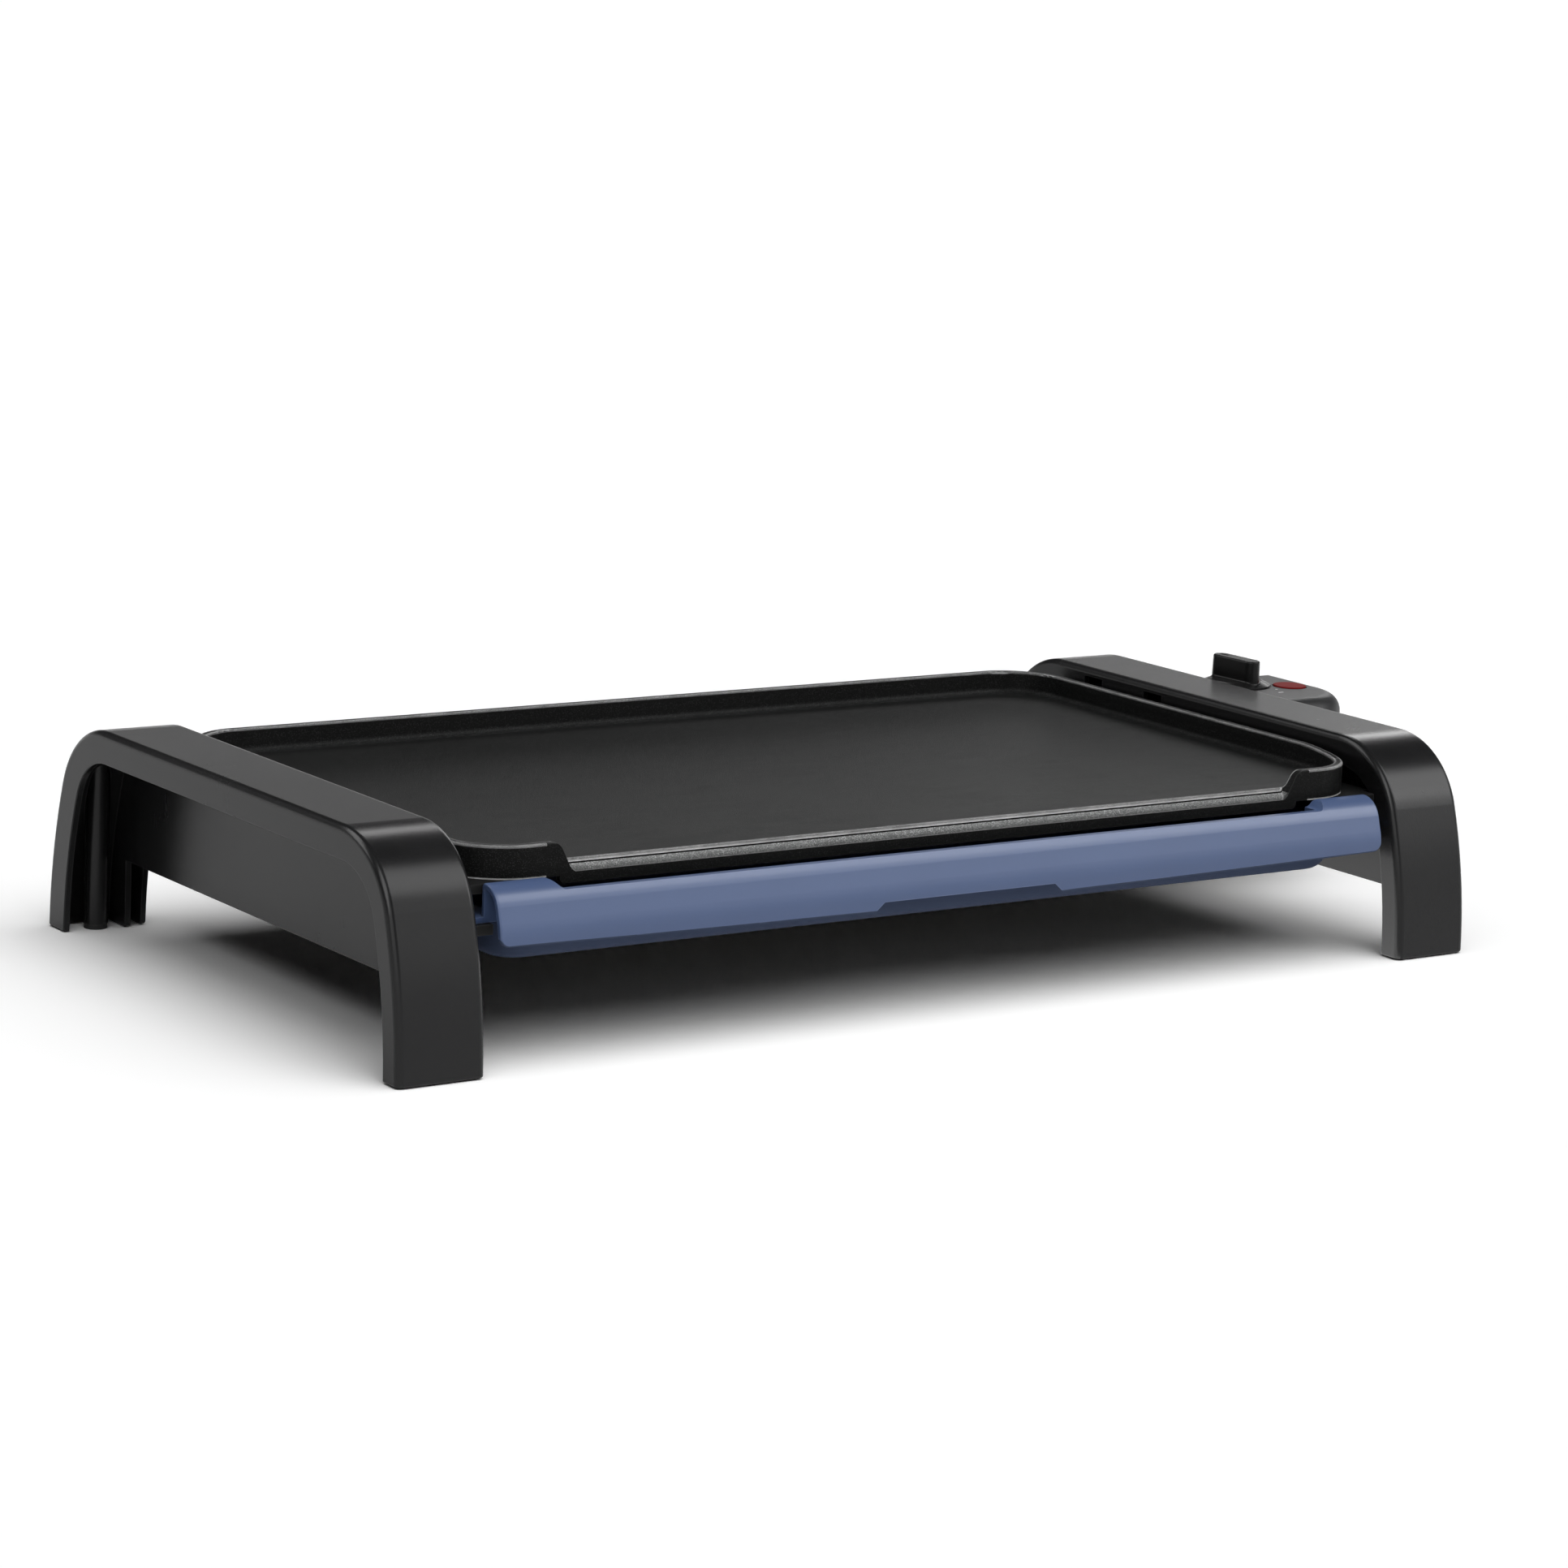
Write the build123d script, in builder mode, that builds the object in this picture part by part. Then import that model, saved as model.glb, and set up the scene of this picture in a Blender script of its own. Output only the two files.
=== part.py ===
# Electric griddle on two moulded arches, with a drip tray that slides out and a plug-in heat control.
# Sizes are in millimetres. X runs to the right, Y to the back and Z up from the table.
import os
from math import asin, cos, degrees, radians, sin, tan

from build123d import *

os.makedirs("parts", exist_ok=True)

# Fits and small values used all over
quarter = 90.0
half_turn = 180.0
overcut = 2.0
thread_gap = 0.05
sliding_gap = 0.2
moving_gap = 0.3
hair = 0.1
small_round = 0.6

# Arches
arches_length = 587.0
arch_width = 42.0
arch_height = 100.0
arch_flat = 215.0
corner_radius = 42.5
leg_radius = 241.5
leg_blend = 18.0
arch_round = 3.2
foot_round = 1.0
skin = 3.2
rim_width = 14.6
rim_shift = -2.4
rim_thickness = 3.0
rim_soft = 0.6
web_setback = 9.0
web_thickness = 3.0
web_low = 31.7
web_rib = 19.0
post_diameter = 11.4
post_inset = 18.4
post_setback = 12.6
post_cover = 1.4
slot_length = 14.2
slot_height = 7.0
slot_cover = 4.4
slot_shift = 29.5
slot_spacing = 47.2

# Feet
pad_reveal = 0.6
pad_head = 2.4
pad_diameter = 10.8
stem_diameter = 5.0
stem_length = 9.0
stem_room = 2.0

# Side brackets that carry the plate and the tray
bracket_wall = 3.0
bracket_recess = 1.0
bracket_front_inset = 7.5
bracket_rear_inset = 6.0
bracket_drop = 28.2
bracket_clearance = 2.0
shelf_thickness = 4.0
shelf_overhang = 0.9
shelf_reach = 21.5
rail_drop = 15.9
rail_thickness = 4.5
rail_overhang = 6.5
rail_tail = 16.0
rail_reach = 12.5
rail_stop = 4.0
rib_thickness = 2.6
rib_drop = 6.0
rib_reach = 12.0
screw_boss = 9.0
screw_shank = 3.5
screw_head = 7.0
screw_head_height = 2.2
screw_round = 0.9
screw_slot = 0.9
screw_slot_length = 3.5
screw_slot_depth = 0.9
screw_drop = 10.2
screw_inset = 18.5
screw_margin = 4.5

# Cooking plate
plate_side_gap = 4.0
plate_depth = 262.5
plate_middle = -3.25
plate_corner = 30.0
plate_drop = 23.8
plate_height = 16.8
floor_rise = 5.6
floor_thickness = 4.5
rim_dip = 2.4
rim_edge = 4.0
wall_draft = 5.0
floor_fillet = 3.0
rim_fillet = 0.9
dip_inset = 47.0
dip_run = 32.0
mouth_inset = 43.6
mouth_run = 7.3
mouth_round = 6.0
mouth_depth = 17.0
slope_run = 6.2
slope_rise = 0.7
lip_drop = 1.4
lip_round = 0.9
skirt_drop = 3.4
skirt_wall = 3.2
skirt_side = 6.5
skirt_round = 2.4
under_wall = 4.6
bolt_inset_x = 11.5
bolt_inset_y = 37.0
bolt_pad = 15.0
bolt_shank = 5.0
bolt_depth = 4.2
bolt_head = 9.0
bolt_head_height = 2.8
bolt_socket = 4.0
bolt_socket_depth = 1.6
bolt_socket_sides = 6

# Heating element
tube_diameter = 8.0
tube_drop = 4.5
tube_bend = 18.0
tube_seat = 15.0
tube_end_inset = 52.5
tube_side_inset = 40.0
tube_return = 28.0
tube_loop = 48.0
tube_ends = 12.0
tube_runs = 3

# Terminals under the right end of the plate
control_inset = 102.0
pin_drop = 5.4
pin_spacing = 22.0
pin_diameter = 4.8
pin_length = 30.0
pin_margin = 2.0
block_inset = 41.5
block_length = 16.0
block_below = 7.7
block_notch = 7.0
guard_sheet = 1.0
guard_width = 50.0
guard_end_gap = 2.5
guard_roof_gap = 2.0
ear_width = 13.0
ear_length = 30.0
guard_screw = 3.0
guard_screw_depth = 3.6
guard_screw_head = 5.6
guard_screw_spacing = 18.0

# Temperature probe
probe_diameter = 6.0
probe_reach = 42.0
probe_clearance = 0.3
probe_round = 2.0
probe_room = 2.0
well_margin = 6.0
well_gap = 3.0
well_width = 13.0
well_corner = 4.0
well_below = 6.9

# Heat control
control_gap = 1.5
control_depth = 61.0
control_width = 74.0
control_corner = 30.0
control_back_corner = 12.0
plug_side_corner = 14.0
control_below = 8.4
base_height = 18.0
top_height = 18.0
control_wall = 2.5
top_round = 9.0
bottom_round = 4.0
bottom_hollow_round = 2.8
nose_clearance = 1.1
nose_gap = 3.5
nose_tail = 26.0
nose_corner = 1.3
sleeve_outer = 8.0
sleeve_wall = 1.2
sleeve_length = 24.0
sleeve_recess = 0.6
thermostat_length = 28.0
thermostat_width = 18.0
thermostat_height = 9.6
thermostat_round = 2.0
bush_diameter = 12.0
shell_screw = 3.0
shell_screw_head = 5.6
shell_screw_head_height = 2.2
shell_boss = 7.4
shell_screw_inner = 8.75
shell_screw_outer = 23.75
shell_screw_inner_y = 27.2
shell_screw_outer_y = 26.0
shell_screw_bite = 9.0
gland_reach = 4.0
gland_flange = 13.0
gland_round = 2.0
gland_body = 9.6
gland_bore = 6.5
gland_rise = 11.0
gland_collar = 11.4
gland_collar_length = 2.0

# Knob, spindle and lamp
knob_setback = 19.25
knob_shift = 14.0
knob_turn = -86.0
dial_radius = 17.8
dial_edge = 0.6
dial_height = 2.0
dial_taper = 66.0
blade_length = 30.4
blade_thickness = 9.4
blade_height = 14.0
blade_draft = 1.0
blade_round = 1.0
blade_root = 1.0
groove_gap = 0.3
groove_width = 0.4
groove_depth = 0.4
pointer_length = 6.0
pointer_width = 2.2
pointer_corner = 0.7
pointer_depth = 0.7
pointer_inset = 3.4
spindle_diameter = 6.0
spindle_depth = 16.0
spindle_cover = 5.0
spindle_flat = 1.2
lamp_offset_x = 24.2
lamp_offset_y = -14.4
lens_diameter = 16.9
lens_gap = 0.5
lens_flange = 19.8
lens_flange_height = 1.8
lens_rise = 0.7
lens_tube = 10.0
lens_tube_length = 8.0
neon_diameter = 6.0
neon_round = 1.5
neon_length = 15.0

# Drip tray
tray_side_gap = 9.2
fascia_reach = 18.3
fascia_lean = 17.0
fascia_wall = 2.2
fascia_height = 24.7
fascia_bow = 2.4
fascia_trim = 4.2
fascia_low_corner = 4.5
foot_bend = 25.0
roll_radius = 11.6
roll_setback = 14.3
end_round = 0.9
shoulder_rise = 1.1
shoulder_width = 28.1
shoulder_margin = 3.0
step_drop = 3.8
step_run = 7.0
roof_thickness = 2.4
notch_half = 52.0
notch_slant = 5.0
notch_depth = 4.2
flange_thickness = 2.5
flange_side_gap = 3.5
flange_margin = 2.0
tub_side_gap = 2.6
tub_depth = 100.5
tub_drop = 19.5
tub_wall = 2.2
tub_taper = 16.0
tub_corner = 20.0
tub_fillet = 9.0

# Positions of the arches
overall_length = arches_length + control_gap + control_depth + gland_reach
left_outer = -overall_length / 2
right_outer = left_outer + arches_length
mid_x = (left_outer + right_outer) / 2
left_inner = left_outer + arch_width
right_inner = right_outer - arch_width
inner_half = arches_length / 2 - arch_width
arch_bottom = pad_reveal
corner_centre_z = arch_height - corner_radius
leg_centre_y = arch_flat / 2 + (corner_radius - leg_radius) * cos(radians(leg_blend))
leg_centre_z = corner_centre_z + (corner_radius - leg_radius) * sin(radians(leg_blend))
foot_half = leg_centre_y + leg_radius * cos(asin((arch_bottom - leg_centre_z) / leg_radius))
web_inner_x = left_inner - web_setback
web_outer_x = web_inner_x - web_thickness
post_x = left_outer + post_inset
post_y = foot_half - post_setback

# Positions of the plate
plate_length = 2 * (inner_half - plate_side_gap)
plate_half = plate_length / 2
plate_front = plate_middle - plate_depth / 2
plate_rear = plate_middle + plate_depth / 2
plate_bottom = arch_height - plate_drop
floor_level = plate_bottom + floor_rise
floor_under = floor_level - floor_thickness
rim_top = plate_bottom + plate_height
front_rim_top = rim_top - rim_dip
dip_start = plate_front + dip_inset
dip_end = dip_start - dip_run
mouth_outer = plate_half - mouth_inset
mouth_inner = mouth_outer - mouth_run
lip_y = plate_front + slope_run
slope_foot = plate_bottom + slope_rise
skirt_low = plate_bottom - skirt_drop
skirt_half = mouth_inner + skirt_side
bolt_x = plate_half - bolt_inset_x
bolt_ys = (plate_front + bolt_inset_y, plate_rear - bolt_inset_y)
control_y = plate_rear - control_inset
slot_y = control_y + slot_shift
slot_z = arch_height - slot_cover - slot_height / 2

# Positions of the element and the terminals
tube_level = floor_under - tube_drop
pin_level = tube_level - pin_drop
block_start = plate_half - block_inset
block_face = block_start + block_length
block_bottom = pin_level - block_below
block_width = guard_width - 2 * guard_sheet - 2 * sliding_gap
pin_start = block_start + block_notch + pin_margin
guard_top = plate_bottom
guard_bottom = block_bottom - guard_sheet - hair
guard_length = inner_half - guard_end_gap - block_start
guard_roof_start = block_face + guard_roof_gap
ear_x = guard_roof_start + ear_width / 2
ear_y = guard_width / 2 + ear_width / 2
tube_left = tube_end_inset - plate_half
tube_right = block_start - tube_return
tube_inner = tube_right - tube_loop
tube_rear = plate_rear - tube_side_inset
tube_front = plate_front + tube_side_inset
tube_pitch = (tube_rear - tube_front) / tube_runs
probe_tip = block_start - probe_reach
well_start = probe_tip - well_margin
well_end = block_start - well_gap
well_bottom = pin_level - well_below

# Positions of the control
control_inner = right_outer + control_gap
control_outer = control_inner + control_depth
control_middle = (control_inner + control_outer) / 2
control_low = pin_level - control_below
control_split = control_low + base_height
control_top = control_split + top_height
shell_roof = control_top - control_wall
nose_tip = block_face + nose_gap
nose_end = control_inner + nose_tail
nose_low = guard_bottom + guard_sheet + nose_clearance
nose_high = guard_top - guard_sheet - nose_clearance
nose_width = guard_width - 2 * guard_sheet - 2 * nose_clearance
gland_level = control_low + gland_rise
knob_x = right_outer + knob_setback
knob_y = control_y + knob_shift
lamp_x = knob_x + lamp_offset_x
lamp_y = knob_y + lamp_offset_y
dial_low = control_top + moving_gap
blade_top = control_top + blade_height
spindle_low = control_top - spindle_depth
spindle_high = blade_top - spindle_cover
groove_radius = dial_radius + groove_gap
shell_screw_spots = (
    (control_inner + shell_screw_inner, control_y - shell_screw_inner_y),
    (control_inner + shell_screw_inner, control_y + shell_screw_inner_y),
    (control_outer - shell_screw_outer, control_y - shell_screw_outer_y),
    (control_outer - shell_screw_outer, control_y + shell_screw_outer_y),
)

# Positions of the tray
tray_half = inner_half - tray_side_gap
fascia_front = plate_front - fascia_reach
lean_sine = sin(radians(fascia_lean))
lean_cosine = cos(radians(fascia_lean))
shoulder_top = plate_bottom + shoulder_rise
middle_top = shoulder_top - step_drop
roll_y = fascia_front + roll_setback
roll_z = shoulder_top - roll_radius
roll_inner = roll_radius - fascia_wall
fascia_back = roll_y + fascia_wall
bend_y = fascia_front + foot_bend
lean_run = roll_y - bend_y + (foot_bend - roll_radius) * lean_cosine
bend_z = roll_z + (roll_radius - foot_bend) * lean_sine - lean_run * lean_cosine / lean_sine
hollow_front = roll_y - roll_inner * lean_cosine
hollow_back = roll_y
roof_low = roll_z + roll_inner * lean_sine
channel_floor = roof_low + roof_thickness
channel_angle = degrees(asin((channel_floor - roll_z) / roll_inner))
channel_front = roll_y - roll_inner * cos(radians(channel_angle))
step_outer = tray_half - shoulder_width
step_inner = step_outer - step_run
shoulder_hollow = step_outer + shoulder_margin
fascia_end_low = shoulder_top - fascia_height
fascia_middle_low = fascia_end_low - fascia_bow
fascia_foot = fascia_middle_low - fascia_trim
notch_top = fascia_middle_low + notch_depth
rail_top = plate_bottom - rail_drop
flange_bottom = rail_top + sliding_gap
flange_half = inner_half - flange_side_gap
tub_half = inner_half - rail_reach - tub_side_gap
tub_rear = hollow_back + tub_depth
tub_middle = (hollow_back + tub_rear) / 2
tub_bottom = flange_bottom - tub_drop

# Positions of the brackets
back_inner_x = left_inner - bracket_recess
back_outer_x = back_inner_x - bracket_wall
bracket_front = plate_front + bracket_front_inset
bracket_rear = plate_rear - bracket_rear_inset
bracket_low = plate_bottom - bracket_drop
bracket_opening = guard_width + 2 * ear_width + 2 * bracket_clearance
shelf_bottom = plate_bottom - shelf_thickness
shelf_front = plate_front - shelf_overhang
rail_front = plate_front - rail_overhang
rail_rear = tub_rear + rail_tail
screw_height = plate_bottom - screw_drop
screw_depth = web_setback - bracket_recess - bracket_wall + web_thickness / 2
screw_ys = (
    bracket_front + screw_inset,
    control_y - bracket_opening / 2 - screw_margin,
    bracket_rear - screw_inset,
)

middle_side = Plane.YZ.offset(mid_x)


def level(height):
    return Plane((mid_x, 0, height))


def facing_front(y):
    return Plane((mid_x, y, 0), x_dir=(1, 0, 0), z_dir=(0, -1, 0))


def arch_face(inset, shift, bottom):
    corner = corner_radius - inset
    leg = leg_radius - inset
    crown = arch_height - inset
    flat = arch_flat / 2
    foot_angle = degrees(asin((bottom - leg_centre_z) / leg))
    foot = leg_centre_y + leg * cos(radians(foot_angle))
    turn = quarter - leg_blend
    lean = leg_blend - foot_angle
    with BuildSketch() as outline:
        with BuildLine():
            Line((shift - flat, crown), (shift + flat, crown))
            CenterArc((shift + flat, corner_centre_z), corner, leg_blend, turn)
            CenterArc((shift + leg_centre_y, leg_centre_z), leg, foot_angle, lean)
            Line((shift + foot, bottom), (shift - foot, bottom))
            CenterArc((shift - leg_centre_y, leg_centre_z), leg, half_turn - leg_blend, lean)
            CenterArc((shift - flat, corner_centre_z), corner, quarter, turn)
        make_face()
    return outline.sketch


# Posts inside the two legs of an arch, trimmed where the leg curves over them
with BuildPart() as posts:
    with BuildSketch(Plane.XY.offset(pad_head)):
        with Locations((post_x, -post_y), (post_x, post_y)):
            Circle(post_diameter / 2)
    extrude(amount=arch_height)
    with BuildSketch(Plane.YZ.offset(left_outer)):
        add(arch_face(post_cover, 0, arch_bottom))
    extrude(amount=arch_width, mode=Mode.INTERSECT)

# Left arch: a rounded band hollowed from both sides, leaving a web and two rims
with BuildPart() as left_arch:
    with BuildSketch(Plane.YZ.offset(left_outer)):
        add(arch_face(0, 0, arch_bottom))
    extrude(amount=arch_width)
    arch_sides = left_arch.faces().filter_by(Axis.X)
    fillet(arch_sides.edges().filter_by(lambda e: e.center().Z > arch_bottom + hair), radius=arch_round)
    fillet(left_arch.faces().sort_by(Axis.Z)[0].edges(), radius=foot_round)
    with BuildSketch(Plane.YZ.offset(left_outer + rim_thickness)):
        add(arch_face(skin, 0, -overcut))
    extrude(amount=web_outer_x - left_outer - rim_thickness, mode=Mode.SUBTRACT)
    with BuildSketch(Plane.YZ.offset(web_inner_x)):
        add(arch_face(skin, 0, -overcut))
    extrude(amount=web_setback - rim_thickness, mode=Mode.SUBTRACT)
    with BuildSketch(Plane.YZ.offset(left_outer), Plane.YZ.offset(left_inner - rim_thickness)):
        add(arch_face(rim_width, rim_shift, -overcut))
    extrude(amount=rim_thickness, mode=Mode.SUBTRACT)
    mouth_edges = left_arch.edges(Select.LAST).filter_by(lambda e: e.center().Z > arch_bottom + foot_round)
    for side_x in (left_outer, left_inner):
        fillet(mouth_edges.filter_by(lambda e: abs(e.center().X - side_x) < hair), radius=rim_soft)
    with BuildSketch(Plane.YZ.offset(web_outer_x)):
        with Locations((0, web_low / 2)):
            Rectangle(2 * (foot_half - web_rib), web_low)
    extrude(amount=web_thickness, mode=Mode.SUBTRACT)
    add(posts.part)
    with BuildSketch(Plane.XY.offset(pad_head)):
        with Locations((post_x, -post_y), (post_x, post_y)):
            Circle(stem_diameter / 2 + thread_gap)
    extrude(amount=stem_length + stem_room, mode=Mode.SUBTRACT)
    with BuildSketch(Plane.YZ.offset(web_inner_x)):
        with Locations(*[(y, screw_height) for y in screw_ys]):
            Circle(screw_boss / 2)
    extrude(amount=back_outer_x - web_inner_x)
    with BuildSketch(Plane.YZ.offset(back_outer_x)):
        with Locations(*[(y, screw_height) for y in screw_ys]):
            Circle(screw_shank / 2 + thread_gap)
    extrude(amount=-screw_depth, mode=Mode.SUBTRACT)

# Right arch: the same moulding mirrored, with two slots and the opening for the control
with BuildPart() as right_arch:
    mirror(left_arch.part, about=middle_side)
    with BuildSketch(Plane.YZ.offset(right_inner)):
        with Locations((slot_y, slot_z)):
            with GridLocations(slot_spacing, 0, 2, 1):
                Rectangle(slot_length, slot_height)
    extrude(amount=rim_thickness, mode=Mode.SUBTRACT)
    with BuildSketch(Plane.YZ.offset(right_inner + rim_thickness)):
        with Locations((control_y, guard_bottom)):
            Rectangle(guard_width, guard_top - guard_bottom, align=(Align.CENTER, Align.MIN))
    extrude(amount=web_setback, mode=Mode.SUBTRACT)

# Rubber feet pressed into the posts
with BuildPart() as left_feet:
    with BuildSketch(Plane.XY):
        with Locations((post_x, -post_y), (post_x, post_y)):
            Circle(pad_diameter / 2)
    extrude(amount=pad_head)
    with BuildSketch(Plane.XY.offset(pad_head)):
        with Locations((post_x, -post_y), (post_x, post_y)):
            Circle(stem_diameter / 2)
    extrude(amount=stem_length)

with BuildPart() as foot_pads:
    add(left_feet.part)
    mirror(left_feet.part, about=middle_side)

# Left bracket: back wall against the web, shelf for the plate, rail for the tray
with BuildPart() as left_bracket:
    with BuildSketch(Plane.YZ.offset(back_outer_x)):
        with Locations((bracket_front, bracket_low)):
            Rectangle(bracket_rear - bracket_front, bracket_drop, align=(Align.MIN, Align.MIN))
    extrude(amount=bracket_wall)
    with BuildSketch(Plane.XY.offset(shelf_bottom)):
        with BuildLine():
            Polyline(
                (back_outer_x, bracket_rear),
                (left_inner + shelf_reach, bracket_rear),
                (left_inner + shelf_reach, shelf_front),
                (left_inner + moving_gap, shelf_front),
                (left_inner + moving_gap, bracket_front),
                (back_outer_x, bracket_front),
                close=True,
            )
        make_face()
    extrude(amount=shelf_thickness)
    with BuildSketch(Plane.XY.offset(rail_top - rail_thickness)):
        with BuildLine():
            Polyline(
                (back_outer_x, rail_rear),
                (left_inner + rail_reach, rail_rear),
                (left_inner + rail_reach, rail_front),
                (left_inner + moving_gap, rail_front),
                (left_inner + moving_gap, bracket_front),
                (back_outer_x, bracket_front),
                close=True,
            )
        make_face()
    extrude(amount=rail_thickness)
    with BuildSketch(Plane.XY.offset(rail_top)):
        with Locations((left_inner + rail_reach, rail_rear)):
            Rectangle(bracket_recess + rail_reach, rail_stop, align=(Align.MAX, Align.MAX))
    extrude(amount=rail_stop)
    with BuildSketch(Plane.XZ.offset(-bracket_rear), Plane.XZ.offset(-bracket_front - rib_thickness)):
        with BuildLine():
            Polyline(
                (back_inner_x, shelf_bottom),
                (back_inner_x + rib_reach, shelf_bottom),
                (back_inner_x, shelf_bottom - rib_drop),
                close=True,
            )
        make_face()
    extrude(amount=rib_thickness)
    with BuildSketch(Plane.YZ.offset(back_outer_x)):
        with Locations(*[(y, screw_height) for y in screw_ys]):
            Circle(screw_shank / 2 + thread_gap)
    extrude(amount=bracket_wall, mode=Mode.SUBTRACT)
    with BuildSketch(Plane.XY.offset(shelf_bottom)):
        with Locations(*[(mid_x - bolt_x, y) for y in bolt_ys]):
            Circle(bolt_shank / 2 + thread_gap)
    extrude(amount=shelf_thickness, mode=Mode.SUBTRACT)

# Right bracket: the mirror image, opened from above where the control plugs in
with BuildPart() as right_bracket:
    mirror(left_bracket.part, about=middle_side)
    with BuildSketch(Plane.YZ.offset(mid_x)):
        with Locations((control_y, guard_bottom - bracket_clearance)):
            Rectangle(bracket_opening, arch_height, align=(Align.CENTER, Align.MIN))
    extrude(amount=arches_length / 2, mode=Mode.SUBTRACT)

# Screws that hold the brackets to the webs
with BuildPart() as left_screws:
    with BuildSketch(Plane.YZ.offset(back_inner_x)):
        with Locations(*[(y, screw_height) for y in screw_ys]):
            Circle(screw_head / 2)
    extrude(amount=screw_head_height)
    fillet(left_screws.faces().sort_by(Axis.X)[-len(screw_ys):].edges(), radius=screw_round)
    with BuildSketch(Plane.YZ.offset(back_inner_x)):
        with Locations(*[(y, screw_height) for y in screw_ys]):
            Circle(screw_shank / 2)
    extrude(amount=hair - bracket_wall - screw_depth)
    with BuildSketch(Plane.YZ.offset(back_inner_x + screw_head_height)):
        with Locations(*[(y, screw_height) for y in screw_ys]):
            Rectangle(screw_slot_length, screw_slot)
            Rectangle(screw_slot, screw_slot_length)
    extrude(amount=-screw_slot_depth, mode=Mode.SUBTRACT)

with BuildPart() as bracket_screws:
    add(left_screws.part)
    mirror(left_screws.part, about=middle_side)

# Heating element: one bent tube with both ends at the control
tube_points = (
    (block_start + block_notch - hair, control_y + tube_ends),
    (tube_right, control_y + tube_ends),
    (tube_right, tube_rear),
    (tube_left, tube_rear),
    (tube_left, tube_rear - tube_pitch),
    (tube_inner, tube_rear - tube_pitch),
    (tube_inner, tube_front + tube_pitch),
    (tube_left, tube_front + tube_pitch),
    (tube_left, tube_front),
    (tube_right, tube_front),
    (tube_right, control_y - tube_ends),
    (block_start + block_notch - hair, control_y - tube_ends),
)
tube_start = (mid_x + tube_points[0][0], tube_points[0][1], tube_level)
tube_section = Plane(tube_start, x_dir=(0, -1, 0), z_dir=(-1, 0, 0))

with BuildPart() as heating_element:
    with BuildLine(level(tube_level)) as tube_path:
        FilletPolyline(*tube_points, radius=tube_bend)
    with BuildSketch(tube_section):
        Circle(tube_diameter / 2)
    sweep()

# Cast seat that the tube is pressed into
with BuildPart() as tube_bed:
    with BuildLine(level(tube_level)):
        FilletPolyline(*tube_points, radius=tube_bend)
    with BuildSketch(tube_section):
        Rectangle(tube_seat, floor_under - tube_level + hair, align=(Align.CENTER, Align.MIN))
    sweep()

with BuildPart() as tube_channel:
    with BuildLine(level(tube_level)):
        FilletPolyline(*tube_points, radius=tube_bend)
    with BuildSketch(tube_section):
        Circle(tube_diameter / 2 + thread_gap)
    sweep()

# Mouth of the plate: slanted ends, a flat floor, then a step and a slope down to the drip edge
with BuildPart() as mouth:
    with BuildSketch(facing_front(plate_front + mouth_depth)):
        with BuildLine():
            FilletPolyline(
                (-plate_half, front_rim_top),
                (-mouth_outer, front_rim_top),
                (-mouth_inner, slope_foot),
                (mouth_inner, slope_foot),
                (mouth_outer, front_rim_top),
                (plate_half, front_rim_top),
                radius=mouth_round,
            )
            Polyline(
                (plate_half, front_rim_top),
                (plate_half, rim_top + overcut),
                (-plate_half, rim_top + overcut),
                (-plate_half, front_rim_top),
            )
        make_face()
    extrude(amount=mouth_depth + overcut)
    with BuildSketch(middle_side):
        with BuildLine():
            Polyline(
                (plate_front + mouth_depth, floor_level),
                (lip_y, floor_level),
                (lip_y, floor_level - lip_drop),
                (plate_front, slope_foot),
                (plate_front - overcut, slope_foot),
                (plate_front - overcut, rim_top + overcut),
                (plate_front + mouth_depth, rim_top + overcut),
                close=True,
            )
        make_face()
    extrude(amount=plate_half, both=True, mode=Mode.INTERSECT)

# Cooking plate: raised rim on three sides and low mouth with a drip edge at the front
wall_run = (rim_top - floor_level) * tan(radians(wall_draft))
pan_inset = rim_edge + wall_run
floor_corner = plate_corner - pan_inset

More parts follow.
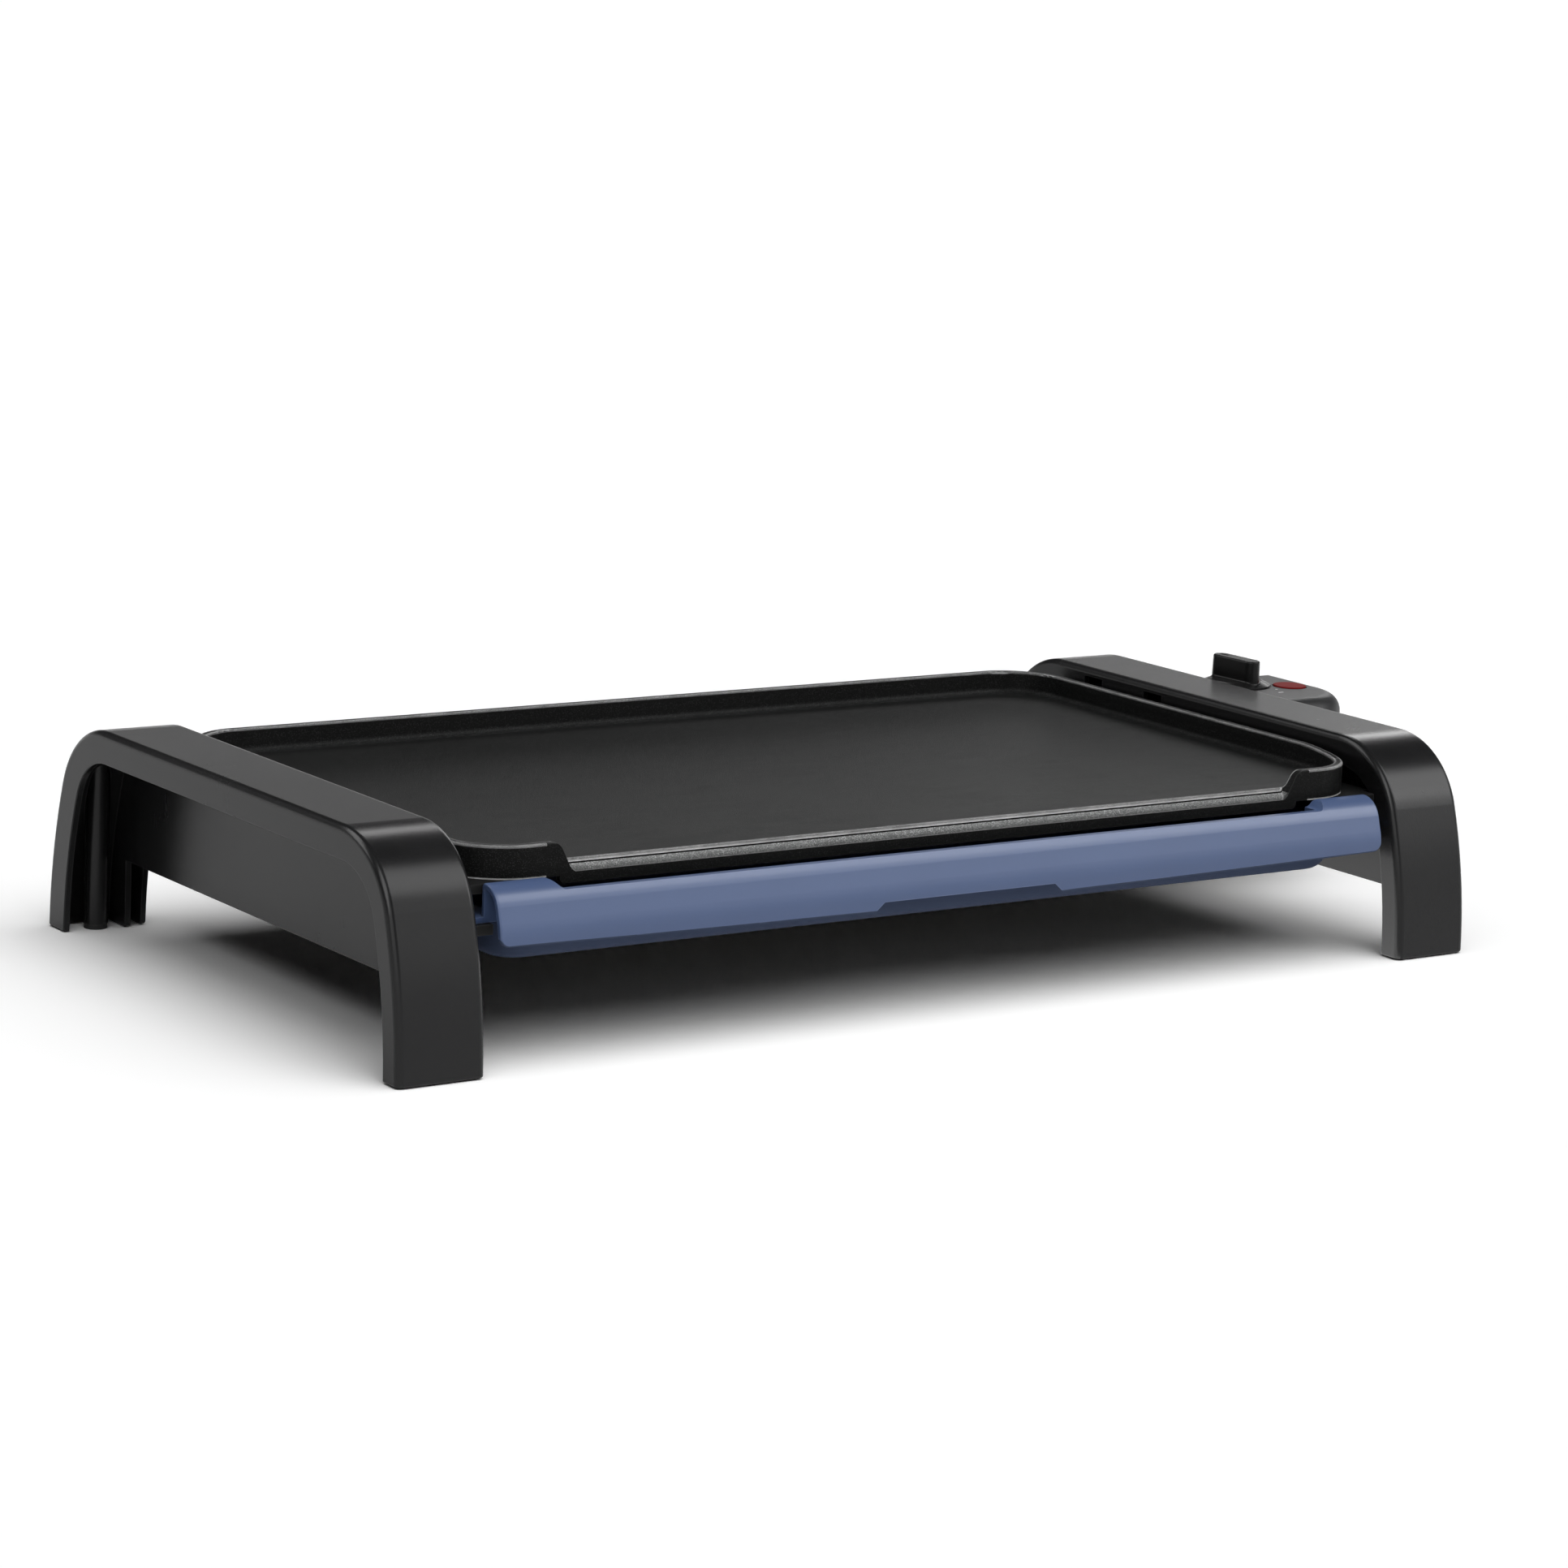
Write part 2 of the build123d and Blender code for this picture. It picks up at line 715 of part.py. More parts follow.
with BuildPart() as cooking_plate:
    with BuildSketch(level(plate_bottom)):
        with Locations((0, plate_middle)):
            RectangleRounded(plate_length, plate_depth, plate_corner)
    extrude(amount=rim_top - plate_bottom)
    with BuildSketch(level(floor_level)):
        with Locations((0, plate_middle)):
            RectangleRounded(plate_length - 2 * pan_inset, plate_depth - 2 * pan_inset, floor_corner)
    extrude(amount=rim_top - floor_level, taper=-wall_draft, mode=Mode.SUBTRACT)
    pan_edges = cooking_plate.faces().filter_by(Axis.Z).sort_by(Axis.Z)[1].edges()
    fillet(pan_edges, radius=floor_fillet)
    with BuildSketch(middle_side):
        with BuildLine():
            Spline(
                (dip_start, rim_top),
                (dip_end, front_rim_top),
                tangents=((-1, 0), (-1, 0)),
            )
            Polyline(
                (dip_end, front_rim_top),
                (plate_front - overcut, front_rim_top),
                (plate_front - overcut, rim_top + overcut),
                (dip_start, rim_top + overcut),
                (dip_start, rim_top),
            )
        make_face()
    extrude(amount=plate_length, both=True, mode=Mode.SUBTRACT)
    rim_edges = cooking_plate.edges().filter_by(lambda e: e.center().Z > front_rim_top - hair)
    rim_edges = rim_edges.filter_by(lambda e: e.length < rim_edge - hair or e.length > rim_edge + hair)
    fillet(rim_edges, radius=rim_fillet)
    add(mouth.part, mode=Mode.SUBTRACT)
    lip_edges = cooking_plate.edges().filter_by(Axis.X).filter_by(lambda e: abs(e.center().Z - floor_level) < hair)
    fillet(lip_edges.sort_by(Axis.Y)[0], radius=lip_round)
    with BuildSketch(level(plate_bottom)):
        with Locations((0, plate_middle)):
            RectangleRounded(
                plate_length - 2 * under_wall,
                plate_depth - 2 * under_wall,
                plate_corner - under_wall,
            )
    extrude(amount=floor_under - plate_bottom, mode=Mode.SUBTRACT)
    with BuildSketch(facing_front(plate_front + skirt_wall)):
        with BuildLine():
            FilletPolyline(
                (-skirt_half, floor_under + hair),
                (-skirt_half, skirt_low),
                (skirt_half, skirt_low),
                (skirt_half, floor_under + hair),
                radius=skirt_round,
            )
            Line((skirt_half, floor_under + hair), (-skirt_half, floor_under + hair))
        make_face()
    extrude(amount=skirt_wall)
    add(tube_bed.part)
    with BuildSketch(level(block_bottom)):
        with Locations((block_start - moving_gap, control_y)):
            Rectangle(block_length, block_width + 2 * moving_gap, align=(Align.MIN, Align.CENTER))
    extrude(amount=floor_under - block_bottom, mode=Mode.SUBTRACT)
    with BuildSketch(level(plate_bottom)):
        with Locations(*[(side * bolt_x, y) for side in (-1, 1) for y in bolt_ys]):
            Circle(bolt_pad / 2)
        with Locations((ear_x, control_y - ear_y), (ear_x, control_y + ear_y)):
            Rectangle(ear_length, ear_width)
    extrude(amount=floor_under - plate_bottom + hair)
    with BuildSketch(level(well_bottom)):
        with Locations(((well_start + well_end) / 2, control_y)):
            RectangleRounded(well_end - well_start, well_width, well_corner)
    extrude(amount=floor_under - well_bottom + hair)
    add(tube_channel.part, mode=Mode.SUBTRACT)
    with BuildSketch(Plane.YZ.offset(mid_x + well_end)):
        with Locations((control_y, pin_level)):
            Circle(probe_diameter / 2 + probe_clearance)
    extrude(amount=probe_tip - well_end - probe_room, mode=Mode.SUBTRACT)
    with BuildSketch(level(plate_bottom)):
        with Locations(*[(side * bolt_x, y) for side in (-1, 1) for y in bolt_ys]):
            Circle(bolt_shank / 2 + thread_gap)
    extrude(amount=bolt_depth, mode=Mode.SUBTRACT)
    with BuildSketch(level(plate_bottom)):
        with Locations((ear_x, control_y)):
            with GridLocations(guard_screw_spacing, 2 * ear_y, 2, 2):
                Circle(guard_screw / 2 + thread_gap)
    extrude(amount=guard_screw_depth, mode=Mode.SUBTRACT)

# Bolts that hold the plate down on the shelves
with BuildPart() as plate_bolts:
    with BuildSketch(level(shelf_bottom)):
        with Locations(*[(side * bolt_x, y) for side in (-1, 1) for y in bolt_ys]):
            Circle(bolt_head / 2)
    extrude(amount=-bolt_head_height)
    with BuildSketch(level(shelf_bottom)):
        with Locations(*[(side * bolt_x, y) for side in (-1, 1) for y in bolt_ys]):
            Circle(bolt_shank / 2)
    extrude(amount=shelf_thickness + bolt_depth - hair)
    with BuildSketch(level(shelf_bottom - bolt_head_height)):
        with Locations(*[(side * bolt_x, y) for side in (-1, 1) for y in bolt_ys]):
            RegularPolygon(bolt_socket / 2, bolt_socket_sides)
    extrude(amount=bolt_socket_depth, mode=Mode.SUBTRACT)

# Terminal block that joins the tube ends to the pins
with BuildPart() as terminal_block:
    with BuildSketch(level(block_bottom)):
        with Locations((block_start, control_y)):
            Rectangle(block_length, block_width, align=(Align.MIN, Align.CENTER))
    extrude(amount=floor_under - block_bottom)
    with BuildSketch(Plane.YZ.offset(mid_x + block_start)):
        for side in (-1, 1):
            with Locations((control_y + side * tube_ends, tube_level)):
                Circle(tube_diameter / 2 + thread_gap)
                Rectangle(tube_diameter + 2 * thread_gap, tube_diameter, align=(Align.CENTER, Align.MIN))
    extrude(amount=block_notch, mode=Mode.SUBTRACT)
    with BuildSketch(Plane.YZ.offset(mid_x + block_start)):
        with Locations((control_y, pin_level)):
            Circle(probe_diameter / 2 + probe_clearance)
    extrude(amount=block_length, mode=Mode.SUBTRACT)
    with BuildSketch(Plane.YZ.offset(mid_x + pin_start)):
        with Locations((control_y, pin_level)):
            with GridLocations(pin_spacing, 0, 2, 1):
                Circle(pin_diameter / 2 + thread_gap)
    extrude(amount=block_length, mode=Mode.SUBTRACT)

with BuildPart() as terminal_pins:
    with BuildSketch(Plane.YZ.offset(mid_x + pin_start)):
        with Locations((control_y, pin_level)):
            with GridLocations(pin_spacing, 0, 2, 1):
                Circle(pin_diameter / 2)
    extrude(amount=pin_length)
    chamfer(terminal_pins.faces().sort_by(Axis.X)[-2:].edges(), length=small_round)

# Sheet guard round the pins, open towards the control
with BuildPart() as terminal_guard:
    with BuildSketch(Plane.YZ.offset(mid_x + block_start)):
        with Locations((control_y, guard_bottom)):
            Rectangle(guard_width, guard_top - guard_bottom, align=(Align.CENTER, Align.MIN))
        with Locations((control_y, guard_bottom + guard_sheet)):
            Rectangle(
                guard_width - 2 * guard_sheet,
                guard_top,
                align=(Align.CENTER, Align.MIN),
                mode=Mode.SUBTRACT,
            )
    extrude(amount=guard_length)
    with BuildSketch(level(guard_top)):
        with Locations((guard_roof_start, control_y)):
            Rectangle(
                block_start + guard_length - guard_roof_start,
                guard_width,
                align=(Align.MIN, Align.CENTER),
            )
        with Locations((ear_x, control_y)):
            Rectangle(ear_length, guard_width + 2 * ear_width)
    extrude(amount=-guard_sheet)
    with BuildSketch(level(guard_top)):
        with Locations((block_start, control_y)):
            Rectangle(
                guard_roof_start - block_start,
                guard_width - 2 * guard_sheet,
                align=(Align.MIN, Align.CENTER),
            )
        with Locations((ear_x, control_y)):
            with GridLocations(guard_screw_spacing, 2 * ear_y, 2, 2):
                Circle(guard_screw / 2 + thread_gap)
    extrude(amount=-guard_sheet, mode=Mode.SUBTRACT)

with BuildPart() as guard_screws:
    with BuildSketch(level(guard_top - guard_sheet)):
        with Locations((ear_x, control_y)):
            with GridLocations(guard_screw_spacing, 2 * ear_y, 2, 2):
                Circle(guard_screw_head / 2)
    extrude(amount=-screw_head_height)
    with BuildSketch(level(guard_top - guard_sheet)):
        with Locations((ear_x, control_y)):
            with GridLocations(guard_screw_spacing, 2 * ear_y, 2, 2):
                Circle(guard_screw / 2)
    extrude(amount=guard_sheet + guard_screw_depth - hair)
    with BuildSketch(level(guard_top - guard_sheet - screw_head_height)):
        with Locations((ear_x, control_y)):
            with GridLocations(guard_screw_spacing, 2 * ear_y, 2, 2):
                Rectangle(screw_slot_length, screw_slot)
                Rectangle(screw_slot, screw_slot_length)
    extrude(amount=screw_slot_depth, mode=Mode.SUBTRACT)

# Outlines of the control, round at its outer end
with BuildSketch() as control_outline:
    with Locations((control_middle, control_y)):
        Rectangle(control_depth, control_width)
    outer_corners = control_outline.vertices().sort_by(Axis.X)[-2:].sort_by(Axis.Y)
    fillet(outer_corners[0], radius=control_corner)
    fillet(outer_corners[1], radius=control_back_corner)
    fillet(control_outline.vertices().sort_by(Axis.X)[:2], radius=plug_side_corner)

with BuildSketch() as hollow_outline:
    add(control_outline.sketch)
    offset(amount=-control_wall)

# Hollows of the control shells
with BuildPart() as top_hollow:
    with BuildSketch(Plane.XY.offset(control_split - overcut)):
        add(hollow_outline.sketch)
    extrude(amount=shell_roof - control_split + overcut)
    fillet(top_hollow.faces().sort_by(Axis.Z)[-1].edges(), radius=top_round - control_wall)

with BuildPart() as base_hollow:
    with BuildSketch(Plane.XY.offset(control_split + overcut)):
        add(hollow_outline.sketch)
    extrude(amount=control_low + control_wall - control_split - overcut)
    fillet(base_hollow.faces().sort_by(Axis.Z)[0].edges(), radius=bottom_hollow_round)

# Upper shell of the control, its screw bosses trimmed by the rounded top
with BuildPart() as top_body:
    with BuildSketch(Plane.XY.offset(control_split)):
        add(control_outline.sketch)
    extrude(amount=control_top - control_split)
    fillet(top_body.faces().sort_by(Axis.Z)[-1].edges(), radius=top_round)

with BuildPart() as top_bosses:
    with BuildSketch(Plane.XY.offset(control_split)):
        with Locations(*shell_screw_spots):
            Circle(shell_boss / 2)
    extrude(amount=shell_roof - control_split + hair)
    add(top_body.part, mode=Mode.INTERSECT)

with BuildPart() as control_top_shell:
    add(top_body.part)
    add(top_hollow.part, mode=Mode.SUBTRACT)
    add(top_bosses.part)
    with BuildSketch(Plane.XY.offset(control_split)):
        with Locations(*shell_screw_spots):
            Circle(shell_screw / 2 + thread_gap)
    extrude(amount=shell_screw_bite, mode=Mode.SUBTRACT)
    with BuildSketch(Plane.XY.offset(shell_roof - overcut)):
        with Locations((knob_x, knob_y)):
            Circle(spindle_diameter / 2 + moving_gap)
        with Locations((lamp_x, lamp_y)):
            Circle(lens_diameter / 2 + lens_gap)
    extrude(amount=control_wall + 2 * overcut, mode=Mode.SUBTRACT)
    with BuildSketch(Plane.XY.offset(shell_roof)):
        with Locations((lamp_x, lamp_y)):
            Circle(lens_flange / 2 + hair)
    extrude(amount=-lens_flange_height - overcut, mode=Mode.SUBTRACT)
    with BuildSketch(Plane.XY.offset(control_top)):
        with Locations((knob_x, knob_y)):
            Circle(groove_radius + groove_width)
            Circle(groove_radius, mode=Mode.SUBTRACT)
    extrude(amount=-groove_depth, mode=Mode.SUBTRACT)

# Lower shell of the control
with BuildPart() as control_base_shell:
    with BuildSketch(Plane.XY.offset(control_low)):
        add(control_outline.sketch)
    extrude(amount=control_split - control_low)
    fillet(control_base_shell.faces().sort_by(Axis.Z)[0].edges(), radius=bottom_round)
    add(base_hollow.part, mode=Mode.SUBTRACT)
    with BuildSketch(Plane.XY.offset(control_low)):
        with Locations(*shell_screw_spots):
            Circle(shell_boss / 2)
    extrude(amount=control_split - control_low)
    with BuildSketch(Plane.XY.offset(control_low)):
        with Locations(*shell_screw_spots):
            Circle(shell_screw / 2 + thread_gap)
    extrude(amount=control_split - control_low, mode=Mode.SUBTRACT)
    with BuildSketch(Plane.XY.offset(control_low)):
        with Locations(*shell_screw_spots):
            Circle(shell_screw_head / 2 + hair)
    extrude(amount=shell_screw_head_height, mode=Mode.SUBTRACT)
    with BuildSketch(Plane.YZ.offset(control_inner - overcut)):
        with Locations((control_y, (nose_low + nose_high) / 2)):
            Rectangle(nose_width + 2 * hair, nose_high - nose_low + 2 * hair)
    extrude(amount=nose_tail + overcut + hair, mode=Mode.SUBTRACT)
    with BuildSketch(Plane.YZ.offset(control_outer - control_wall - overcut)):
        with Locations((control_y, gland_level)):
            Circle(gland_body / 2 + hair)
    extrude(amount=control_wall + 2 * overcut, mode=Mode.SUBTRACT)

with BuildPart() as shell_screws:
    with BuildSketch(Plane.XY.offset(control_low)):
        with Locations(*shell_screw_spots):
            Circle(shell_screw_head / 2)
    extrude(amount=shell_screw_head_height)
    with BuildSketch(Plane.XY.offset(control_low + shell_screw_head_height)):
        with Locations(*shell_screw_spots):
            Circle(shell_screw / 2)
    extrude(amount=control_split + shell_screw_bite - control_low - shell_screw_head_height - hair)
    with BuildSketch(Plane.XY.offset(control_low)):
        with Locations(*shell_screw_spots):
            Rectangle(screw_slot_length, screw_slot)
            Rectangle(screw_slot, screw_slot_length)
    extrude(amount=screw_slot_depth, mode=Mode.SUBTRACT)

# Contact block: the nose that enters the guard
with BuildPart() as contact_block:
    with BuildSketch(Plane.YZ.offset(mid_x + nose_tip)):
        with Locations((control_y, (nose_low + nose_high) / 2)):
            RectangleRounded(nose_width, nose_high - nose_low, nose_corner)
    extrude(amount=nose_end - mid_x - nose_tip)
    with BuildSketch(Plane.YZ.offset(mid_x + nose_tip)):
        with Locations((control_y, pin_level)):
            with GridLocations(pin_spacing, 0, 2, 1):
                Circle(sleeve_outer / 2 + thread_gap)
    extrude(amount=sleeve_length + sleeve_recess, mode=Mode.SUBTRACT)
    with BuildSketch(Plane.YZ.offset(mid_x + nose_tip)):
        with Locations((control_y, pin_level)):
            Circle(probe_diameter / 2 + thread_gap)
    extrude(amount=nose_end - mid_x - nose_tip - nose_tail / 2, mode=Mode.SUBTRACT)

with BuildPart() as contact_sleeves:
    with BuildSketch(Plane.YZ.offset(mid_x + nose_tip + sleeve_recess)):
        with Locations((control_y, pin_level)):
            with GridLocations(pin_spacing, 0, 2, 1):
                Circle(sleeve_outer / 2)
                Circle(sleeve_outer / 2 - sleeve_wall, mode=Mode.SUBTRACT)
    extrude(amount=sleeve_length)

with BuildPart() as probe_rod:
    with BuildSketch(Plane.YZ.offset(mid_x + probe_tip)):
        with Locations((control_y, pin_level)):
            Circle(probe_diameter / 2)
    extrude(amount=nose_end - mid_x - probe_tip - nose_tail / 2 - hair)
    fillet(probe_rod.faces().sort_by(Axis.X)[0].edges(), radius=probe_round)

# Thermostat with the bush that guides the spindle
with BuildPart() as thermostat:
    with BuildSketch(Plane.XY.offset(nose_high)):
        with Locations((knob_x, knob_y)):
            Rectangle(thermostat_length, thermostat_width)
    extrude(amount=thermostat_height)
    fillet(thermostat.edges().filter_by(Axis.Z), radius=thermostat_round)
    with BuildSketch(Plane.XY.offset(nose_high + thermostat_height)):
        with Locations((knob_x, knob_y)):
            Circle(bush_diameter / 2)
    extrude(amount=shell_roof - nose_high - thermostat_height)
    with BuildSketch(Plane.XY.offset(spindle_low - moving_gap)):
        with Locations((knob_x, knob_y)):
            Circle(spindle_diameter / 2 + thread_gap)
    extrude(amount=control_top, mode=Mode.SUBTRACT)

# Pilot lamp and its lens
with BuildPart() as lamp_lens:
    with BuildSketch(Plane.XY.offset(shell_roof - lens_flange_height)):
        with Locations((lamp_x, lamp_y)):
            Circle(lens_flange / 2)
    extrude(amount=lens_flange_height)
    with BuildSketch(Plane.XY.offset(shell_roof)):
        with Locations((lamp_x, lamp_y)):
            Circle(lens_diameter / 2)
    extrude(amount=control_wall + lens_rise)
    fillet(lamp_lens.faces().sort_by(Axis.Z)[-1].edges(), radius=small_round)
    with BuildSketch(Plane.XY.offset(shell_roof - lens_flange_height)):
        with Locations((lamp_x, lamp_y)):
            Circle(lens_tube / 2)
            Circle(neon_diameter / 2 + thread_gap, mode=Mode.SUBTRACT)
    extrude(amount=-lens_tube_length)

with BuildPart() as neon_lamp:
    with BuildSketch(Plane.XY.offset(shell_roof - lens_flange_height - hair)):
        with Locations((lamp_x, lamp_y)):
            Circle(neon_diameter / 2)
    extrude(amount=-neon_length)
    fillet(neon_lamp.edges().filter_by(GeomType.CIRCLE), radius=neon_round)

# Gland that the cord comes through
with BuildPart() as cord_gland:
    with BuildSketch(Plane.YZ.offset(control_outer)):
        with Locations((control_y, gland_level)):
            Circle(gland_flange / 2)
    extrude(amount=gland_reach)
    fillet(cord_gland.faces().sort_by(Axis.X)[-1].edges(), radius=gland_round)
    with BuildSketch(Plane.YZ.offset(control_outer)):
        with Locations((control_y, gland_level)):
            Circle(gland_body / 2)
    extrude(amount=-control_wall)
    with BuildSketch(Plane.YZ.offset(control_outer - control_wall)):
        with Locations((control_y, gland_level)):
            Circle(gland_collar / 2)
    extrude(amount=-gland_collar_length)
    with BuildSketch(Plane.YZ.offset(control_outer + gland_reach)):
        with Locations((control_y, gland_level)):
            Circle(gland_bore / 2)
    extrude(amount=-control_depth / 2, mode=Mode.SUBTRACT)

# Knob with its blade grip
knob_axis = (cos(radians(knob_turn)), sin(radians(knob_turn)), 0)


def knob_level(height):
    return Plane((knob_x, knob_y, height), x_dir=knob_axis, z_dir=(0, 0, 1))


with BuildPart() as control_knob:
    with BuildSketch(knob_level(dial_low)):
        Circle(dial_radius)
    extrude(amount=dial_edge)
    with BuildSketch(knob_level(dial_low + dial_edge)):
        Circle(dial_radius)
    extrude(amount=dial_height, taper=dial_taper)
    with BuildSketch(knob_level(dial_low)):
        SlotOverall(blade_length, blade_thickness)
    extrude(amount=blade_top - dial_low, taper=blade_draft)
    fillet(control_knob.edges(Select.NEW), radius=blade_root)
    fillet(control_knob.faces().sort_by(Axis.Z)[-1].edges(), radius=blade_round)
    with BuildSketch(knob_level(blade_top)):
        with Locations((-blade_length / 2 + pointer_inset + pointer_length / 2, 0)):
            RectangleRounded(pointer_length, pointer_width, pointer_corner)
    extrude(amount=-pointer_depth, mode=Mode.SUBTRACT)
    with BuildSketch(knob_level(dial_low)):
        Circle(spindle_diameter / 2 + thread_gap)
        with Locations((spindle_diameter / 2 + thread_gap, 0)):
            Rectangle(spindle_flat, spindle_diameter, align=(Align.MAX, Align.CENTER), mode=Mode.SUBTRACT)
    extrude(amount=spindle_high + hair - dial_low, mode=Mode.SUBTRACT)

with BuildPart() as knob_spindle:
    with BuildSketch(knob_level(spindle_low)):
        Circle(spindle_diameter / 2)
    extrude(amount=spindle_high - spindle_low)
    with BuildSketch(knob_level(dial_low - moving_gap / 2)):
        with Locations((spindle_diameter / 2, 0)):
            Rectangle(spindle_flat, spindle_diameter, align=(Align.MAX, Align.CENTER))
    extrude(amount=spindle_high, mode=Mode.SUBTRACT)

# Tub of the drip tray, tapered and rounded like a boat
with BuildPart() as tub_body:
    with BuildSketch(level(flange_bottom)):
        with Locations((0, tub_middle)):
            RectangleRounded(2 * tub_half, tub_depth, tub_corner)
    extrude(amount=tub_bottom - flange_bottom, taper=tub_taper)
    fillet(tub_body.faces().sort_by(Axis.Z)[0].edges(), radius=tub_fillet)

with BuildPart() as tub_hollow:
    with BuildSketch(level(flange_bottom)):
        with Locations((0, tub_middle)):
            RectangleRounded(2 * tub_half - 2 * tub_wall, tub_depth - 2 * tub_wall, tub_corner - tub_wall)
    extrude(amount=tub_bottom + tub_wall - flange_bottom, taper=tub_taper)
    fillet(tub_hollow.faces().sort_by(Axis.Z)[0].edges(), radius=tub_fillet - tub_wall)
    with BuildSketch(level(flange_bottom)):
        with Locations((0, tub_middle)):
            RectangleRounded(2 * tub_half - 2 * tub_wall, tub_depth - 2 * tub_wall, tub_corner - tub_wall)
    extrude(amount=flange_thickness)

def fascia_line(inset):
    roll = roll_radius - inset
    bend = foot_bend - inset
    lean_top = (roll_y - roll * lean_cosine, roll_z + roll * lean_sine)
    lean_foot = (bend_y - bend * lean_cosine, bend_z + bend * lean_sine)
    Line(lean_top, lean_foot)
    CenterArc((bend_y, bend_z), bend, half_turn - fascia_lean, fascia_lean)
    Line((bend_y - bend, bend_z), (bend_y - bend, fascia_foot))


# Drip tray: front rolled over at both ends, its outline cut from the front, then flange and tub
with BuildPart() as drip_tray:
    with BuildSketch(Plane.YZ.offset(mid_x - tray_half)):
        with BuildLine():
            CenterArc((roll_y, roll_z), roll_radius, quarter, quarter - fascia_lean)
            fascia_line(0)
            Polyline(
                (fascia_front, fascia_foot),
                (fascia_back, fascia_foot),
                (fascia_back, shoulder_top - fascia_wall),
            )
            CenterArc((roll_y, shoulder_top - fascia_wall), fascia_wall, 0, quarter)
        make_face()
    extrude(amount=2 * tray_half)
    with BuildSketch(Plane.YZ.offset(mid_x - tray_half)):
        with BuildLine():
            fascia_line(fascia_wall)
            Polyline(
                (fascia_front + fascia_wall, fascia_foot),
                (fascia_back + overcut, fascia_foot),
                (fascia_back + overcut, flange_bottom),
                (hollow_back, flange_bottom),
                (hollow_back, roof_low),
                (hollow_front, roof_low),
            )
        make_face()
    extrude(amount=2 * tray_half, mode=Mode.SUBTRACT)
    with BuildSketch(
        Plane.YZ.offset(mid_x - tray_half),
        Plane.YZ.offset(mid_x + shoulder_hollow),
    ):
        with BuildLine():
            CenterArc((roll_y, roll_z), roll_inner, quarter, quarter - fascia_lean)
            Polyline(
                (hollow_front, roof_low),
                (hollow_back, roof_low),
                (hollow_back, roll_z + roll_inner),
            )
        make_face()
    extrude(amount=tray_half - shoulder_hollow, mode=Mode.SUBTRACT)
    with BuildSketch(Plane.YZ.offset(mid_x - step_inner)):
        with BuildLine():
            CenterArc((roll_y, roll_z), roll_inner, quarter, quarter - channel_angle)
            Polyline(
                (channel_front, channel_floor),
                (fascia_back + overcut, channel_floor),
                (fascia_back + overcut, shoulder_top + overcut),
                (roll_y, shoulder_top + overcut),
                (roll_y, roll_z + roll_inner),
            )
        make_face()
    extrude(amount=2 * step_inner, mode=Mode.SUBTRACT)
    with BuildSketch(facing_front(tub_rear)):
        with BuildLine():
            ThreePointArc(
                (fascia_low_corner - tray_half, fascia_end_low),
                (0, fascia_middle_low),
                (tray_half - fascia_low_corner, fascia_end_low),
            )
            CenterArc(
                (tray_half - fascia_low_corner, fascia_end_low + fascia_low_corner),
                fascia_low_corner,
                -quarter,
                quarter,
            )
            Polyline(
                (tray_half, fascia_end_low + fascia_low_corner),
                (tray_half, shoulder_top + overcut),
                (step_outer, shoulder_top + overcut),
                (step_outer, shoulder_top),
            )
            Spline(
                (step_outer, shoulder_top),
                (step_inner, middle_top),
                tangents=((-1, 0), (-1, 0)),
            )
            Line((step_inner, middle_top), (-step_inner, middle_top))
            Spline(
                (-step_inner, middle_top),
                (-step_outer, shoulder_top),
                tangents=((-1, 0), (-1, 0)),
            )
            Polyline(
                (-step_outer, shoulder_top),
                (-step_outer, shoulder_top + overcut),
                (-tray_half, shoulder_top + overcut),
                (-tray_half, fascia_end_low + fascia_low_corner),
            )
            CenterArc(
                (fascia_low_corner - tray_half, fascia_end_low + fascia_low_corner),
                fascia_low_corner,
                half_turn,
                quarter,
            )
        make_face()
        with BuildLine():
            Polyline(
                (-notch_half, fascia_foot),
                (notch_half, fascia_foot),
                (notch_half, fascia_middle_low),
                (notch_half - notch_slant, notch_top),
                (notch_slant - notch_half, notch_top),
                (-notch_half, fascia_middle_low),
                close=True,
            )
        make_face(mode=Mode.SUBTRACT)
    extrude(amount=tub_rear - fascia_front + overcut, mode=Mode.INTERSECT)
    roll_ends = drip_tray.edges().filter_by(GeomType.CIRCLE).filter_by(
        lambda e: abs(e.radius - roll_radius) < hair and abs(abs(e.center().X - mid_x) - tray_half) < hair
    )
    fillet(roll_ends, radius=end_round)
    with BuildSketch(level(flange_bottom)):
        with BuildLine():
            Polyline(
                (-flange_half, hollow_back),
                (flange_half, hollow_back),
                (flange_half, tub_rear + flange_margin),
                (-flange_half, tub_rear + flange_margin),
                close=True,
            )
        make_face()
    extrude(amount=flange_thickness)
    add(tub_body.part)
    add(tub_hollow.part, mode=Mode.SUBTRACT)

# Each piece is saved under its own name
pieces = {
    "left_arch": left_arch,
    "right_arch": right_arch,
    "foot_pads": foot_pads,
    "left_bracket": left_bracket,
    "right_bracket": right_bracket,
    "bracket_screws": bracket_screws,
    "cooking_plate": cooking_plate,
    "plate_bolts": plate_bolts,
    "heating_element": heating_element,
    "terminal_block": terminal_block,
    "terminal_pins": terminal_pins,
    "terminal_guard": terminal_guard,
    "guard_screws": guard_screws,
    "drip_tray": drip_tray,
    "control_top_shell": control_top_shell,
    "control_base_shell": control_base_shell,
    "shell_screws": shell_screws,
    "contact_block": contact_block,
    "contact_sleeves": contact_sleeves,
    "probe_rod": probe_rod,
    "thermostat": thermostat,
    "lamp_lens": lamp_lens,
    "neon_lamp": neon_lamp,
    "cord_gland": cord_gland,
    "control_knob": control_knob,
    "knob_spindle": knob_spindle,
}
